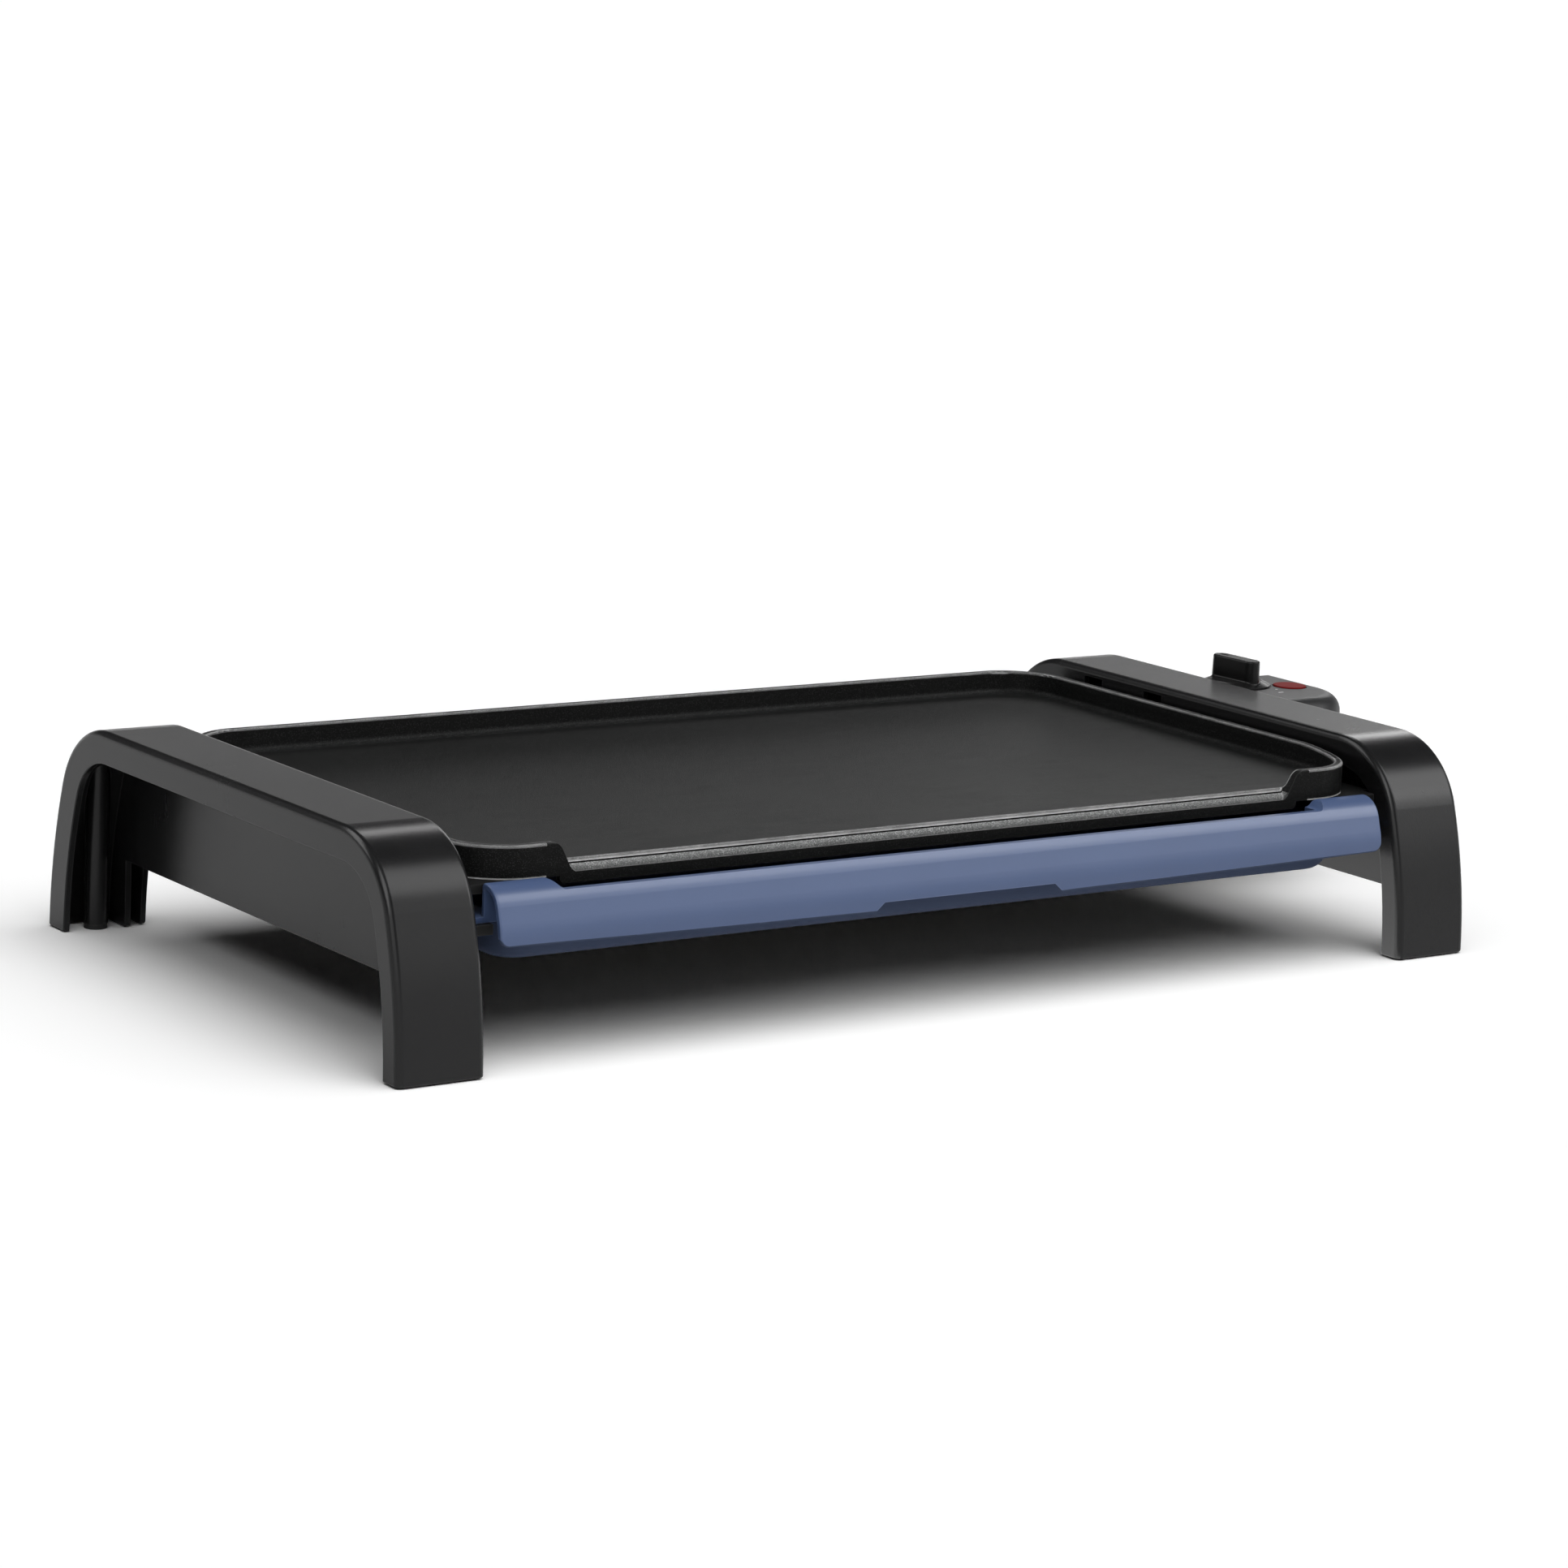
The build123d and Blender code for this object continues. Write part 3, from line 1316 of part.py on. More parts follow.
for name, piece in pieces.items():
    piece.part.label = name
    export_step(piece.part, f"parts/{name}.step")
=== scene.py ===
import math
import bpy
from mathutils import Matrix, Vector

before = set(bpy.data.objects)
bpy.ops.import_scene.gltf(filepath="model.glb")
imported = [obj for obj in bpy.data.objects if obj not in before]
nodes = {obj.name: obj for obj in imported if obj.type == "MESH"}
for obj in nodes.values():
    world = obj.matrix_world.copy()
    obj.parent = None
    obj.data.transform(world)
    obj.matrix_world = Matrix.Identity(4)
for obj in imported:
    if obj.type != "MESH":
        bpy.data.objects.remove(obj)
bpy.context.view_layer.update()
scene = bpy.context.scene
print("griddle loaded:", len(nodes), "nodes")


# small helpers for node trees

def addNode(tree, kind, **values):
    node = tree.nodes.new("ShaderNode" + kind)
    for name, value in values.items():
        setattr(node, name, value)
    return node


def feed(tree, socket, value):
    if isinstance(value, bpy.types.NodeSocket):
        tree.links.new(value, socket)
    else:
        socket.default_value = value


def maths(tree, operation, first, second=0.0, third=0.0, clamp=False):
    node = addNode(tree, "Math", operation=operation, use_clamp=clamp)
    for socket, value in zip(node.inputs, (first, second, third)):
        feed(tree, socket, value)
    return node.outputs[0]


def spread(tree, value, low, high, toLow=0.0, toHigh=1.0, smooth=False):
    node = addNode(tree, "MapRange", interpolation_type="SMOOTHSTEP" if smooth else "LINEAR")
    for socket, number in zip(node.inputs[:5], (value, low, high, toLow, toHigh)):
        feed(tree, socket, number)
    return node.outputs[0]


def blendValues(tree, mask, first, second):
    node = addNode(tree, "Mix", data_type="FLOAT")
    for index, value in zip((0, 2, 3), (mask, first, second)):
        feed(tree, node.inputs[index], value)
    return node.outputs[0]


def blendColours(tree, mask, first, second):
    node = addNode(tree, "Mix", data_type="RGBA")
    for index, value in zip((0, 6, 7), (mask, first, second)):
        feed(tree, node.inputs[index], value)
    return node.outputs[2]


def noise(tree, place, scale, detail=2.0, rough=0.5):
    node = addNode(tree, "TexNoise")
    for label, value in zip(("Vector", "Scale", "Detail", "Roughness"), (place, scale, detail, rough)):
        feed(tree, node.inputs[label], value)
    return node.outputs["Fac"]


def objectPlace(tree, stretch=None):
    place = addNode(tree, "TexCoord").outputs["Object"]
    if stretch is None:
        return place
    node = addNode(tree, "Mapping")
    node.inputs["Scale"].default_value = stretch
    feed(tree, node.inputs["Vector"], place)
    return node.outputs["Vector"]


def axes(tree, vector):
    node = addNode(tree, "SeparateXYZ")
    feed(tree, node.inputs[0], vector)
    return node.outputs


def between(tree, value, low, high):
    above = maths(tree, "GREATER_THAN", value, low)
    return maths(tree, "MULTIPLY", above, maths(tree, "LESS_THAN", value, high))


def near(tree, value, middle, reach):
    away = maths(tree, "ABSOLUTE", maths(tree, "SUBTRACT", value, middle))
    return maths(tree, "LESS_THAN", away, reach)


def openGroup(name, inputs, outputs):
    tree = bpy.data.node_groups.new(name, "ShaderNodeTree")
    for label, value in inputs.items():
        socket = tree.interface.new_socket(label, in_out="INPUT", socket_type="NodeSocketFloat")
        socket.default_value = value
    for label in outputs:
        tree.interface.new_socket(label, in_out="OUTPUT", socket_type="NodeSocketFloat")
    return tree, tree.nodes.new("NodeGroupInput").outputs, tree.nodes.new("NodeGroupOutput").inputs


def placeGroup(tree, group, **values):
    node = addNode(tree, "Group", node_tree=group)
    for label, value in values.items():
        feed(tree, node.inputs[label], value)
    return node.outputs


# spark-eroded skin of a moulded plastic: fine pits, plus slow changes of tone
skinLook = {"pitDetail": 3.0, "pitRough": 0.6, "toneScale": 14.0}
mouldSkin, skinIn, skinOut = openGroup("mouldSkin", {"Scale": 1400.0}, ["Height", "Tone"])
skinPlace = objectPlace(mouldSkin)
pits = noise(mouldSkin, skinPlace, skinIn["Scale"], skinLook["pitDetail"], skinLook["pitRough"])
feed(mouldSkin, skinOut["Height"], pits)
feed(mouldSkin, skinOut["Tone"], noise(mouldSkin, skinPlace, skinLook["toneScale"]))

# paler line along outside edges, partly rubbed wear and partly a painted highlight
wearSheenLook = {"samples": 6, "flat": 0.995, "scale": 90.0, "detail": 4.0, "rough": 0.6, "from": 0.3, "to": 0.7}
edgeWearAndSheen, wearSheenIn, wearSheenOut = openGroup("edgeWearAndSheen", {"Radius": 0.0012, "Patchy": 0.5, "Bend": 0.86}, ["Mask"])
rounded = addNode(edgeWearAndSheen, "Bevel", samples=wearSheenLook["samples"])
feed(edgeWearAndSheen, rounded.inputs["Radius"], wearSheenIn["Radius"])
turn = addNode(edgeWearAndSheen, "VectorMath", operation="DOT_PRODUCT")
feed(edgeWearAndSheen, turn.inputs[0], rounded.outputs["Normal"])
feed(edgeWearAndSheen, turn.inputs[1], addNode(edgeWearAndSheen, "NewGeometry").outputs["Normal"])
corner = spread(edgeWearAndSheen, turn.outputs["Value"], wearSheenLook["flat"], wearSheenIn["Bend"])
patches = noise(edgeWearAndSheen, objectPlace(edgeWearAndSheen), wearSheenLook["scale"], wearSheenLook["detail"], wearSheenLook["rough"])
patches = spread(edgeWearAndSheen, patches, wearSheenLook["from"], wearSheenLook["to"])
whole = maths(edgeWearAndSheen, "SUBTRACT", 1.0, wearSheenIn["Patchy"])
patchy = maths(edgeWearAndSheen, "MULTIPLY_ADD", patches, wearSheenIn["Patchy"], whole)
feed(edgeWearAndSheen, wearSheenOut["Mask"], maths(edgeWearAndSheen, "MULTIPLY", corner, patchy, clamp=True))

# finger marks and wiping marks, for roughness
marksLook = {
    "rough": 0.6, "broadDetail": 4.0, "broadFrom": 0.35, "broadTo": 0.7,
    "fineTimes": 5.0, "fineStretch": (1.0, 3.0, 1.0), "fineDetail": 3.0, "fineFrom": 0.25, "fineTo": 0.75,
}
handMarks, marksIn, marksOut = openGroup("handMarks", {"Scale": 18.0}, ["Mask"])
broadPlace = objectPlace(handMarks)
broad = noise(handMarks, broadPlace, marksIn["Scale"], marksLook["broadDetail"], marksLook["rough"])
broad = spread(handMarks, broad, marksLook["broadFrom"], marksLook["broadTo"])
fineScale = maths(handMarks, "MULTIPLY", marksIn["Scale"], marksLook["fineTimes"])
finePlace = objectPlace(handMarks, marksLook["fineStretch"])
fine = noise(handMarks, finePlace, fineScale, marksLook["fineDetail"], marksLook["rough"])
fine = spread(handMarks, fine, marksLook["fineFrom"], marksLook["fineTo"])
feed(handMarks, marksOut["Mask"], maths(handMarks, "MULTIPLY", broad, fine, clamp=True))

# thin dust that settles on faces turned upwards
dustLook = {
    "upFrom": 0.55, "upFull": 1.0, "scale": 26.0, "detail": 5.0, "rough": 0.65, "from": 0.38, "to": 0.72,
}
dustFilm, dustIn, dustOut = openGroup("dustFilm", {"Amount": 0.5}, ["Mask"])
dustFacing = axes(dustFilm, addNode(dustFilm, "NewGeometry").outputs["Normal"])
upward = spread(dustFilm, dustFacing["Z"], dustLook["upFrom"], dustLook["upFull"], smooth=True)
clouds = noise(dustFilm, objectPlace(dustFilm), dustLook["scale"], dustLook["detail"], dustLook["rough"])
clouds = spread(dustFilm, clouds, dustLook["from"], dustLook["to"])
settled = maths(dustFilm, "MULTIPLY", upward, clouds)
feed(dustFilm, dustOut["Mask"], maths(dustFilm, "MULTIPLY", settled, dustIn["Amount"], clamp=True))

# small pale flecks of a sprayed coating, each of its own size
flecksLook = {"least": 0.2, "most": 0.5, "grainTimes": 0.8, "grainDetail": 2.0, "grainRough": 0.6}
coatFlecks, flecksIn, flecksOut = openGroup("coatFlecks", {"Scale": 900.0, "Share": 0.3}, ["Mask", "Height"])
cells = addNode(coatFlecks, "TexVoronoi", feature="F1")
feed(coatFlecks, cells.inputs["Vector"], objectPlace(coatFlecks))
feed(coatFlecks, cells.inputs["Scale"], flecksIn["Scale"])
chance = addNode(coatFlecks, "SeparateColor")
feed(coatFlecks, chance.inputs[0], cells.outputs["Color"])
picked = maths(coatFlecks, "LESS_THAN", chance.outputs[0], flecksIn["Share"])
reach = spread(coatFlecks, chance.outputs[1], 0.0, 1.0, flecksLook["least"], flecksLook["most"])
inside = maths(coatFlecks, "LESS_THAN", cells.outputs["Distance"], reach)
feed(coatFlecks, flecksOut["Mask"], maths(coatFlecks, "MULTIPLY", picked, inside))
grainScale = maths(coatFlecks, "MULTIPLY", flecksIn["Scale"], flecksLook["grainTimes"])
grainPlace = objectPlace(coatFlecks)
grain = noise(coatFlecks, grainPlace, grainScale, flecksLook["grainDetail"], flecksLook["grainRough"])
feed(coatFlecks, flecksOut["Height"], grain)

# fine drawn lines and heat tone of bare metal
drawnLook = {
    "stretch": (0.05, 1.0, 1.0), "lineDetail": 3.0, "stainScale": 35.0, "stainDetail": 4.0, "rough": 0.6,
}
drawnMetal, drawnIn, drawnOut = openGroup("drawnMetal", {"Scale": 500.0}, ["Lines", "Tone"])
linePlace = objectPlace(drawnMetal, drawnLook["stretch"])
lines = noise(drawnMetal, linePlace, drawnIn["Scale"], drawnLook["lineDetail"], drawnLook["rough"])
stainPlace = objectPlace(drawnMetal)
stain = noise(drawnMetal, stainPlace, drawnLook["stainScale"], drawnLook["stainDetail"], drawnLook["rough"])
feed(drawnMetal, drawnOut["Lines"], lines)
feed(drawnMetal, drawnOut["Tone"], stain)
print("effects ready:", len(bpy.data.node_groups), "groups")


# each finish is one dictionary and one material

def startFinish(name, **sockets):
    material = bpy.data.materials.new(name)
    material.use_nodes = True
    tree = material.node_tree
    shader = tree.nodes["Principled BSDF"]
    for label, value in sockets.items():
        shader.inputs[label.replace("_", " ")].default_value = value
    return material, tree, shader


def paintOver(tree, shader, mask, colour):
    plain = shader.inputs["Base Color"].links[0].from_socket
    feed(tree, shader.inputs["Base Color"], blendColours(tree, mask, plain, colour))


def smear(tree, shader, look):  # duller where hands and cloths have been
    marks = placeGroup(tree, handMarks, Scale=look["marks"])
    dull = spread(tree, marks["Mask"], 0.0, 1.0, look["rough"], look["rough"] + look["marked"])
    feed(tree, shader.inputs["Roughness"], dull)


def addBump(tree, shader, height, look):
    bump = addNode(tree, "Bump")
    bump.inputs["Strength"].default_value = look["depth"]
    bump.inputs["Distance"].default_value = look["bump"]
    feed(tree, bump.inputs["Height"], height)
    feed(tree, shader.inputs["Normal"], bump.outputs["Normal"])


def dress(material, *names):
    for name in names:
        slots = nodes[name].data.materials
        if len(slots):
            for index in range(len(slots)):
                slots[index] = material
        else:
            slots.append(material)


def mouldedPlastic(look):
    material, tree, shader = startFinish(look["name"], Specular_IOR_Level=look["shine"])
    skin = placeGroup(tree, mouldSkin, Scale=look["pits"])
    wearSheen = placeGroup(tree, edgeWearAndSheen, Radius=look["edge"], Patchy=look["patchy"])
    dust = placeGroup(tree, dustFilm, Amount=look["dust"])
    feed(tree, shader.inputs["Base Color"], blendColours(tree, skin["Tone"], look["dark"], look["pale"]))
    # paler outside edges: rubbed wear plus a painted highlight
    paintOver(tree, shader, maths(tree, "MULTIPLY", wearSheen["Mask"], look["wearSheen"]), look["wearSheenColour"])
    paintOver(tree, shader, dust["Mask"], look["dustColour"])
    smear(tree, shader, look)
    addBump(tree, shader, skin["Height"], look)
    return material, tree, shader


archLook = {
    "name": "archPlastic", "dark": (0.0075, 0.0075, 0.008, 1), "pale": (0.011, 0.011, 0.0115, 1),
    "wearSheenColour": (0.05, 0.05, 0.052, 1), "wearSheen": 0.5, "edge": 0.0012, "patchy": 0.45,
    "dustColour": (0.06, 0.06, 0.06, 1), "dust": 0.10, "pits": 1500.0, "depth": 0.12, "bump": 0.0002,
    "marks": 16.0, "rough": 0.25, "marked": 0.04, "shine": 0.25,
}
archPlastic = mouldedPlastic(archLook)[0]
dress(archPlastic, "left_arch", "right_arch")

bracketLook = dict(
    archLook, name="bracketPlastic", dark=(0.006, 0.006, 0.006, 1), pale=(0.009, 0.009, 0.009, 1),
    rough=0.5, depth=0.2,
)
bracketPlastic = mouldedPlastic(bracketLook)[0]
dress(bracketPlastic, "left_bracket", "right_bracket")

trayLook = {
    "name": "trayPlastic", "dark": (0.06, 0.096, 0.205, 1), "pale": (0.073, 0.114, 0.235, 1),
    "wearSheenColour": (0.24, 0.29, 0.45, 1), "wearSheen": 0.3, "edge": 0.001, "patchy": 0.45,
    "dustColour": (0.3, 0.32, 0.38, 1), "dust": 0.05, "pits": 1200.0, "depth": 0.06, "bump": 0.0002,
    "marks": 14.0, "rough": 0.30, "marked": 0.08, "shine": 0.5,
    "underFrom": -0.1, "underFull": -0.27, "underShadeColour": (0.026, 0.042, 0.092, 1), "underRough": 0.85,
    "bounce": (0.13, 0.13, 0.13, 1),
}
trayPlastic, tree, shader = mouldedPlastic(trayLook)
trayFacing = axes(tree, addNode(tree, "NewGeometry").outputs["Normal"])
underShade = spread(tree, trayFacing["Z"], trayLook["underFrom"], trayLook["underFull"], smooth=True)
paintOver(tree, shader, underShade, trayLook["underShadeColour"])  # painted shade: darker and duller where it faces the table
gloss = shader.inputs["Roughness"].links[0].from_socket
feed(tree, shader.inputs["Roughness"], blendValues(tree, underShade, gloss, trayLook["underRough"]))
bounced = addNode(tree, "LightPath").outputs["Is Diffuse Ray"]
paintOver(tree, shader, bounced, trayLook["bounce"])  # keeps the blue off the table
dress(trayPlastic, "drip_tray")

knobLook = dict(
    archLook, name="knobPlastic", dark=(0.006, 0.006, 0.006, 1), pale=(0.009, 0.009, 0.009, 1),
    rough=0.24, depth=0.05, dust=0.04, wearSheen=0.6, shine=0.16,
)
knobPlastic = mouldedPlastic(knobLook)[0]
dress(knobPlastic, "control_knob")

controlLook = dict(
    archLook, name="controlPlastic", dark=(0.016, 0.016, 0.017, 1), pale=(0.022, 0.022, 0.023, 1),
    rough=0.42, depth=0.2,
)
controlPlastic, tree, shader = mouldedPlastic(controlLook)

# a printed dot and dash beside the dial
markLook = {
    "white": (0.55, 0.55, 0.55, 1), "height": 0.0935, "dot": (0.29075, 0.0207), "dotSize": 0.0007,
    "dash": (0.287, 0.013), "dashHalf": 0.0016, "dashWide": 0.0006,
}
place = axes(tree, objectPlace(tree))
fromDot = [maths(tree, "SUBTRACT", place[axis], middle) for axis, middle in zip("XY", markLook["dot"])]
dotSquare = maths(tree, "ADD", *[maths(tree, "POWER", away, 2.0) for away in fromDot])
dotMask = maths(tree, "LESS_THAN", dotSquare, markLook["dotSize"] ** 2)
dashX = near(tree, place["X"], markLook["dash"][0], markLook["dashHalf"])
dashY = near(tree, place["Y"], markLook["dash"][1], markLook["dashWide"])
printed = maths(tree, "MAXIMUM", dotMask, maths(tree, "MULTIPLY", dashX, dashY))
onTop = maths(tree, "GREATER_THAN", place["Z"], markLook["height"])
paintOver(tree, shader, maths(tree, "MULTIPLY", printed, onTop), markLook["white"])
dress(controlPlastic, "control_top_shell", "control_base_shell")
print("plastics dressed")

coatLook = {
    "name": "plateCoat", "dark": (0.007, 0.0072, 0.0071, 1), "pale": (0.011, 0.0113, 0.0112, 1),
    "fleck": (0.034, 0.035, 0.0345, 1), "scale": 2400.0, "share": 0.4, "pits": 800.0,
    "marks": 9.0, "rough": 0.34, "marked": 0.06, "depth": 0.5, "bump": 0.0003, "shine": 0.04,
    "edge": 0.0013, "edgeHighlightColour": (0.9, 0.9, 0.9, 1), "patchy": 0.4, "bend": 0.97,
}
lipHighlightLook = {  # the pouring lip is painted paler, a painted highlight brightest at the top of its slope
    "low": 0.0766, "high": 0.0805, "front": -0.1344, "back": -0.1286, "middle": -0.03325, "half": 0.21,
    "top": (0.22, 0.225, 0.223, 1), "foot": (0.022, 0.0225, 0.0225, 1), "share": 0.8,
    "fleckTop": (0.75, 0.76, 0.757, 1), "fleckFoot": (0.08, 0.082, 0.082, 1),
    "grooveShade": (0.004, 0.004, 0.004, 1), "grooveWide": 0.0009,
}
plateCoat, tree, shader = startFinish(coatLook["name"], Specular_IOR_Level=coatLook["shine"])
place = axes(tree, objectPlace(tree))
alongFront = near(tree, place["X"], lipHighlightLook["middle"], lipHighlightLook["half"])
lip = maths(tree, "MULTIPLY", alongFront, between(tree, place["Z"], lipHighlightLook["low"], lipHighlightLook["high"]))
lip = maths(tree, "MULTIPLY", lip, between(tree, place["Y"], lipHighlightLook["front"], lipHighlightLook["back"]))
outward = spread(tree, place["Y"], lipHighlightLook["back"], lipHighlightLook["front"])
lipHighlight = blendColours(tree, outward, lipHighlightLook["top"], lipHighlightLook["foot"])
lipFleckHighlight = blendColours(tree, outward, lipHighlightLook["fleckTop"], lipHighlightLook["fleckFoot"])

share = blendValues(tree, lip, coatLook["share"], lipHighlightLook["share"])
flecks = placeGroup(tree, coatFlecks, Scale=coatLook["scale"], Share=share)
skin = placeGroup(tree, mouldSkin, Scale=coatLook["pits"])
tone = blendColours(tree, skin["Tone"], coatLook["dark"], coatLook["pale"])
# painted highlight on the pouring lip
feed(tree, shader.inputs["Base Color"], blendColours(tree, lip, tone, lipHighlight))
paintOver(tree, shader, flecks["Mask"], blendColours(tree, lip, coatLook["fleck"], lipFleckHighlight))

# painted highlight along the rim's edges, but not along the lip's outer edge
rimHighlight = placeGroup(tree, edgeWearAndSheen, Radius=coatLook["edge"], Patchy=coatLook["patchy"], Bend=coatLook["bend"])
notLipFront = maths(tree, "SUBTRACT", 1.0, maths(tree, "MULTIPLY", outward, alongFront))
paintOver(tree, shader, maths(tree, "MULTIPLY", rimHighlight["Mask"], notLipFront), coatLook["edgeHighlightColour"])
# painted shade in the groove at the back of the lip
grooveStart = maths(tree, "GREATER_THAN", place["Y"], lipHighlightLook["back"] - lipHighlightLook["grooveWide"])
paintOver(tree, shader, maths(tree, "MULTIPLY", lip, grooveStart), lipHighlightLook["grooveShade"])
smear(tree, shader, coatLook)
addBump(tree, shader, flecks["Height"], coatLook)
dress(plateCoat, "cooking_plate")


def bareMetal(look):
    material, tree, shader = startFinish(look["name"], Metallic=1.0)
    drawn = placeGroup(tree, drawnMetal, Scale=look["lines"])
    tone = spread(tree, drawn["Tone"], look["toneFrom"], look["toneTo"])
    feed(tree, shader.inputs["Base Color"], blendColours(tree, tone, look["dark"], look["pale"]))
    smear(tree, shader, look)
    addBump(tree, shader, drawn["Lines"], look)
    return material


screwLook = {
    "name": "screwSteel", "dark": (0.42, 0.42, 0.43, 1), "pale": (0.6, 0.6, 0.6, 1),
    "toneFrom": 0.3, "toneTo": 0.7, "lines": 900.0, "depth": 0.2, "bump": 0.0001,
    "marks": 40.0, "rough": 0.3, "marked": 0.15,
}
dress(bareMetal(screwLook), "bracket_screws", "plate_bolts", "guard_screws", "shell_screws")

elementLook = dict(
    screwLook, name="elementSteel", dark=(0.16, 0.14, 0.13, 1), pale=(0.34, 0.32, 0.30, 1),
    lines=700.0, rough=0.36, depth=0.25,
)
dress(bareMetal(elementLook), "heating_element", "probe_rod", "knob_spindle")

pinLook = dict(
    screwLook, name="pinMetal", dark=(0.55, 0.54, 0.5, 1), pale=(0.68, 0.67, 0.63, 1),
    lines=1200.0, rough=0.22, depth=0.1,
)
dress(bareMetal(pinLook), "terminal_pins", "contact_sleeves")

guardLook = dict(
    screwLook, name="guardSteel", dark=(0.4, 0.41, 0.42, 1), pale=(0.56, 0.57, 0.58, 1),
    lines=300.0, rough=0.34, depth=0.3,
)
dress(bareMetal(guardLook), "terminal_guard")
print("metals dressed")

insulatorLook = dict(
    archLook, name="insulatorMoulding", dark=(0.22, 0.19, 0.14, 1), pale=(0.30, 0.26, 0.2, 1),
    wearSheenColour=(0.4, 0.36, 0.3, 1), dustColour=(0.3, 0.3, 0.28, 1), rough=0.55,
)
insulatorMoulding = mouldedPlastic(insulatorLook)[0]
dress(insulatorMoulding, "terminal_block", "contact_block", "thermostat")

rubberLook = dict(
    archLook, name="footRubber", dark=(0.012, 0.012, 0.012, 1), pale=(0.02, 0.02, 0.02, 1),
    rough=0.75, depth=0.3, dust=0.2, wearSheen=0.3,
)
footRubber = mouldedPlastic(rubberLook)[0]
dress(footRubber, "foot_pads")
glandRubber = mouldedPlastic(dict(rubberLook, name="glandRubber", rough=0.6))[0]
dress(glandRubber, "cord_gland")


def tintedPiece(look, **sockets):
    material, tree, shader = startFinish(look["name"], **sockets)
    skin = placeGroup(tree, mouldSkin, Scale=look["pits"])
    feed(tree, shader.inputs["Base Color"], blendColours(tree, skin["Tone"], look["dark"], look["pale"]))
    smear(tree, shader, look)
    if look["depth"]:
        addBump(tree, shader, skin["Height"], look)
    return material


lensLook = {
    "name": "redLens", "dark": (0.13, 0.008, 0.008, 1), "pale": (0.20, 0.018, 0.018, 1), "shine": 0.012,
    "pits": 260.0, "depth": 0.05, "bump": 0.0002, "marks": 60.0, "rough": 0.4, "marked": 0.1,
}
dress(tintedPiece(lensLook, Specular_IOR_Level=lensLook["shine"]), "lamp_lens")

bulbLook = {
    "name": "bulbGlass", "dark": (0.7, 0.45, 0.3, 1), "pale": (0.85, 0.66, 0.52, 1),
    "clear": 0.7, "bend": 1.5, "pits": 400.0, "depth": 0.0, "marks": 80.0, "rough": 0.05, "marked": 0.1,
}
dress(tintedPiece(bulbLook, Transmission_Weight=bulbLook["clear"], IOR=bulbLook["bend"]), "neon_lamp")
print("small parts dressed")


# floor, lamps and camera

floorLook = {
    "size": 80.0, "white": (0.86, 0.86, 0.86, 1), "shade": (0.84, 0.84, 0.84, 1), "clouds": 6.0,
    "backdrop": (1.1, 1.1, 1.1, 1), "rough": 0.9,
}
half = floorLook["size"] / 2
mesh = bpy.data.meshes.new("floor")
mesh.from_pydata([(-half, -half, 0), (half, -half, 0), (half, half, 0), (-half, half, 0)], [], [(0, 1, 2, 3)])
floor = bpy.data.objects.new("floor", mesh)
scene.collection.objects.link(floor)
floorWhite, tree, shader = startFinish("floorWhite", Specular_IOR_Level=0.0, Roughness=floorLook["rough"])
rays = addNode(tree, "LightPath").outputs
seen = maths(tree, "ADD", rays["Is Camera Ray"], rays["Is Transmission Ray"], clamp=True)
seen = maths(tree, "ADD", seen, rays["Is Glossy Ray"], clamp=True)
paperClouds = noise(tree, objectPlace(tree), floorLook["clouds"])
paper = blendColours(tree, paperClouds, floorLook["shade"], floorLook["white"])
feed(tree, shader.inputs["Base Color"], blendColours(tree, seen, paper, floorLook["backdrop"]))
mesh.materials.append(floorWhite)

aimHeight = 0.08


def aimLamp(name, kind, towards, far, along=(1.0, 0.0, 0.0)):
    lamp = bpy.data.objects.new(name, bpy.data.lights.new(name, kind))
    back = Vector(towards).normalized()
    down = back.cross(Vector(along)).normalized()
    turned = Matrix((down.cross(back), down, back)).transposed().to_4x4()
    lamp.matrix_world = Matrix.Translation(Vector((0, 0, aimHeight)) + back * far) @ turned
    scene.collection.objects.link(lamp)
    return lamp


def shapeCard(lamp, look):
    lamp.data.shape = "RECTANGLE"
    lamp.data.energy, lamp.data.size, lamp.data.size_y = look["energy"], look["wide"], look["high"]
    lamp.visible_diffuse = False  # shows as a reflection only


def softBox(name, look, side=1):
    towards, along = ((side * x, y, z) for x, y, z in (look["towards"], look["along"]))
    shapeCard(aimLamp(name, "AREA", towards, look["far"], along), look)


# two broad suns give the light and the soft shadow
sunLook = {
    "energy": 1.58, "spread": 74, "lean": 0.05, "apart": 0.22, "front": -0.36, "high": 0.91, "far": 4.0,
}
for side in (-1, 1):
    towards = (sunLook["lean"] + sunLook["apart"] * side, sunLook["front"], sunLook["high"])
    sun = aimLamp("softSun", "SUN", towards, sunLook["far"])
    sun.data.energy = sunLook["energy"]
    sun.data.angle = math.radians(sunLook["spread"])
    sun.visible_glossy = False

# a strip at the back right, a pair of soft boxes at each front corner, one at the back left
stripLook = {
    "towards": (0.58, 0.6, 0.54), "along": (0.7, -0.05, -0.7), "far": 4.0,
    "energy": 27.0, "wide": 3.0, "high": 0.65,
}
frontHighLook = {
    "towards": (0.58, -0.5, 0.64), "along": (0.8, 0.1, -0.6), "far": 3.0,
    "energy": 50.0, "wide": 2.2, "high": 1.6,
}
frontLowLook = {
    "towards": (0.58, -0.78, 0.33), "along": (0.8, 0.6, 0.0), "far": 3.0,
    "energy": 13.0, "wide": 2.2, "high": 1.2,
}
rearLook = {
    "towards": (-0.58, 0.5, 0.6), "along": (-0.8, -0.1, -0.6), "far": 3.0,
    "energy": 40.0, "wide": 2.2, "high": 1.4,
}
softBox("backStrip", stripLook)
for side in (-1, 1):
    softBox("frontHigh", frontHighLook, side)
    softBox("frontLow", frontLowLook, side)
softBox("rearSoft", rearLook)

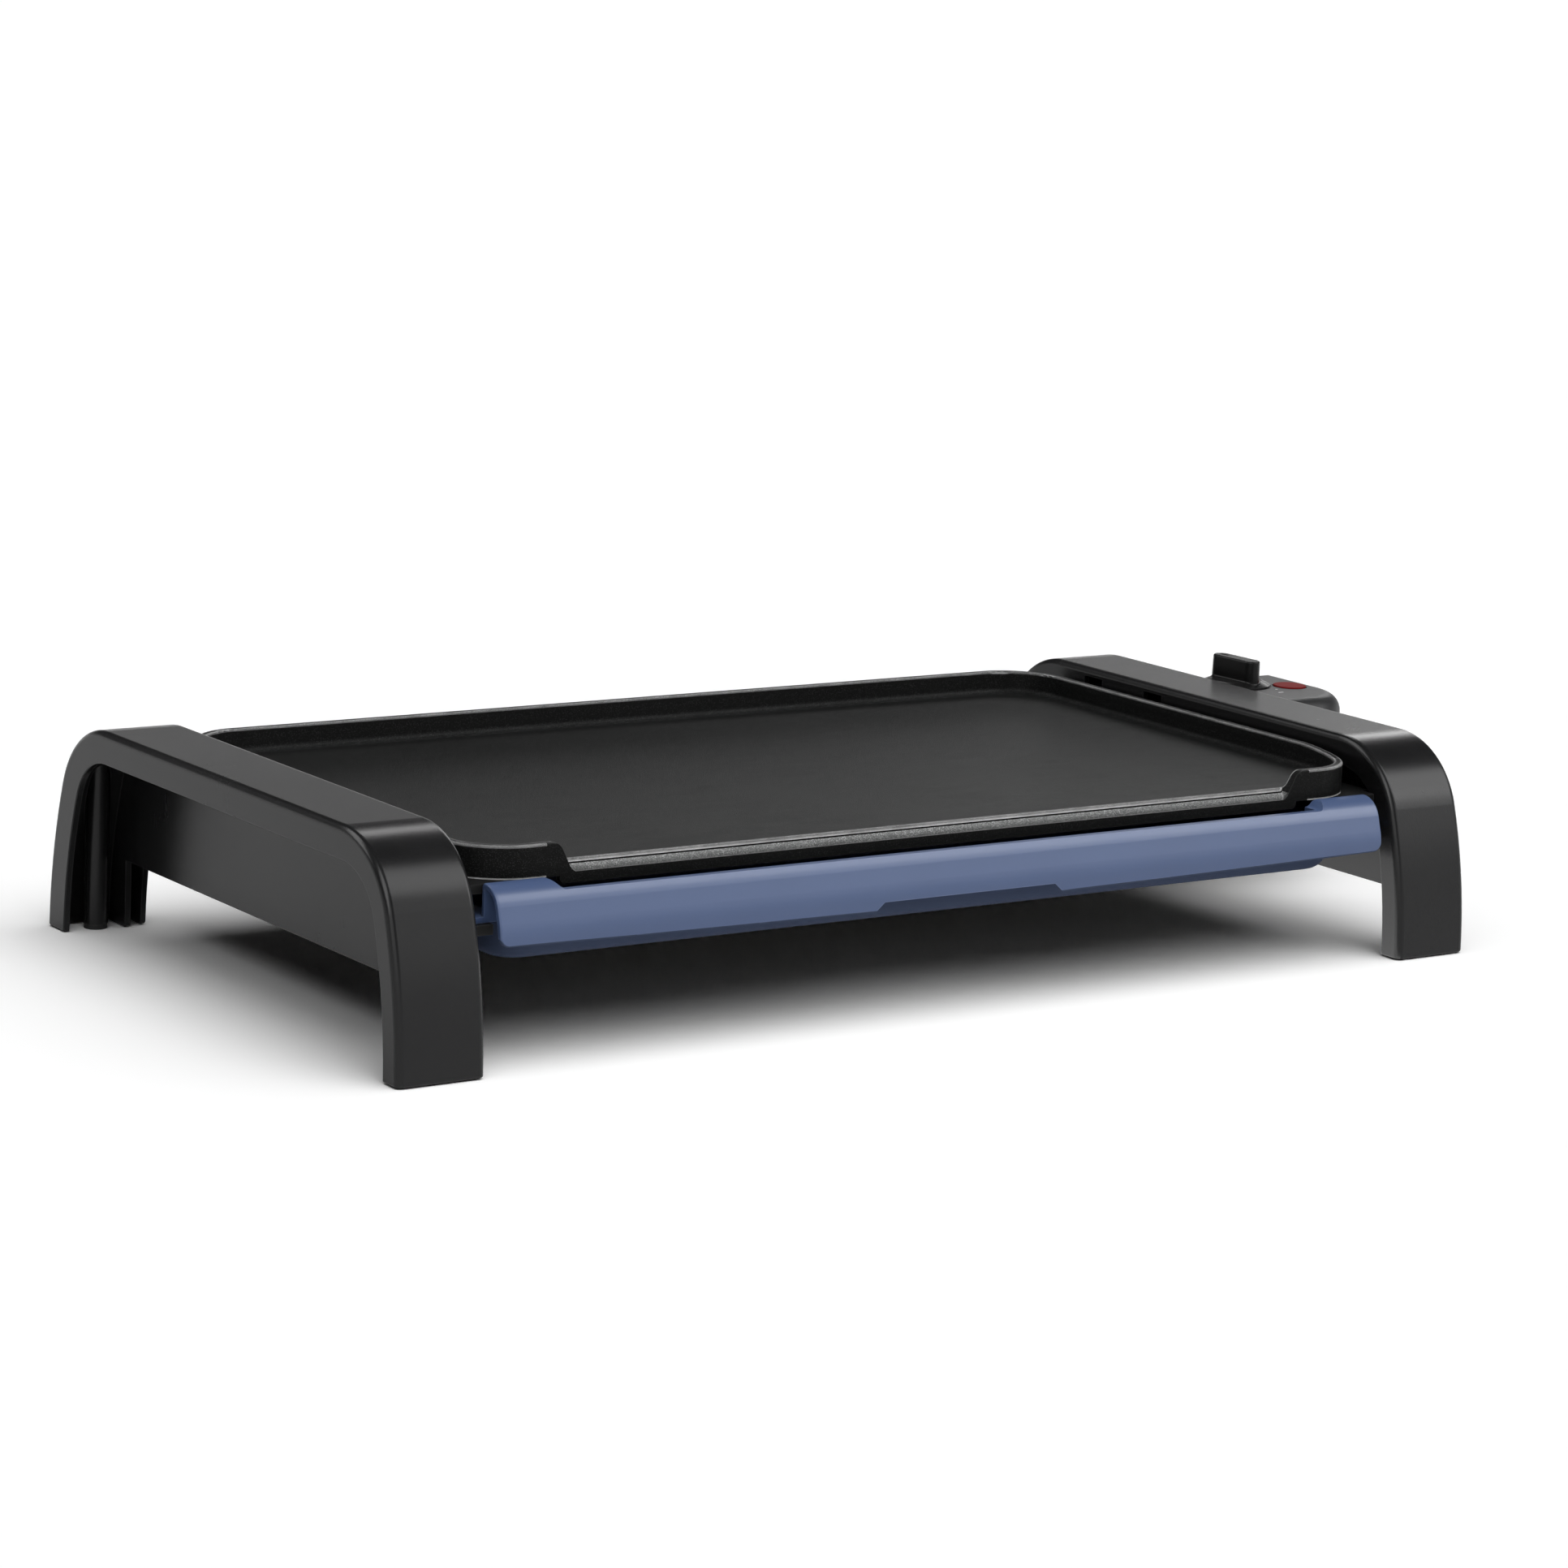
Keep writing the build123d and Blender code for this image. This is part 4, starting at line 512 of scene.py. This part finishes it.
# a bright card on the table under the plate, which only the arches mirror
cardLook = {"place": (0.11, -0.035, 0.001), "wide": 0.22, "high": 0.26, "energy": 0.5}
card = bpy.data.objects.new("tableCard", bpy.data.lights.new("tableCard", "AREA"))
shapeCard(card, cardLook)
card.matrix_world = Matrix.Translation(cardLook["place"]) @ Matrix.Rotation(math.pi, 4, "X")
card.visible_camera = False
scene.collection.objects.link(card)
cardShows = bpy.data.collections.new("cardShows")
for name in ("left_arch", "right_arch"):
    cardShows.objects.link(nodes[name])
card.light_linking.receiver_collection = cardShows

# bright all round at table height, dark ceiling, white behind
studioLook = {"horizon": 1.0, "ceiling": 0.04, "wallFrom": 0.05, "wallTo": 0.27, "air": 0.015, "behind": 1.0}
world = bpy.data.worlds.new("studio")
scene.world = world
world.use_nodes = True
tree = world.node_tree
height = axes(tree, addNode(tree, "TexCoord").outputs["Generated"])["Z"]
wall = spread(
    tree, height, studioLook["wallFrom"], studioLook["wallTo"],
    studioLook["horizon"], studioLook["ceiling"], smooth=True,
)
rays = addNode(tree, "LightPath").outputs
mirrored = maths(tree, "ADD", rays["Is Glossy Ray"], rays["Is Transmission Ray"], clamp=True)
around = blendValues(tree, mirrored, studioLook["air"], wall)
background = tree.nodes["Background"]
background.inputs["Color"].default_value = (1, 1, 1, 1)
glow = blendValues(tree, rays["Is Camera Ray"], around, studioLook["behind"])
feed(tree, background.inputs["Strength"], glow)

cameraLook = {
    "azimuth": -35.461, "elevation": 11.235, "roll": 2.716, "place": (-1.24734, -1.71151, 0.49135),
    "lens": 105.5, "sensor": 36.0, "farthest": 200.0,
}
azimuth, elevation, roll = (math.radians(cameraLook[name]) for name in ("azimuth", "elevation", "roll"))
level = math.cos(elevation)
back = Vector((math.sin(azimuth) * level, -math.cos(azimuth) * level, math.sin(elevation)))
across = Vector((0, 0, 1)).cross(back).normalized()
upright = back.cross(across)
right = across * math.cos(roll) + upright * math.sin(roll)
up = upright * math.cos(roll) - across * math.sin(roll)
camera = bpy.data.objects.new("camera", bpy.data.cameras.new("camera"))
camera.data.sensor_width = cameraLook["sensor"]
camera.data.lens = cameraLook["lens"]
camera.data.clip_end = cameraLook["farthest"]
turned = Matrix((right, up, back)).transposed().to_4x4()
camera.matrix_world = Matrix.Translation(cameraLook["place"]) @ turned
scene.collection.objects.link(camera)
scene.camera = camera
scene.view_settings.view_transform = "Standard"
print("floor, lamps and camera set")
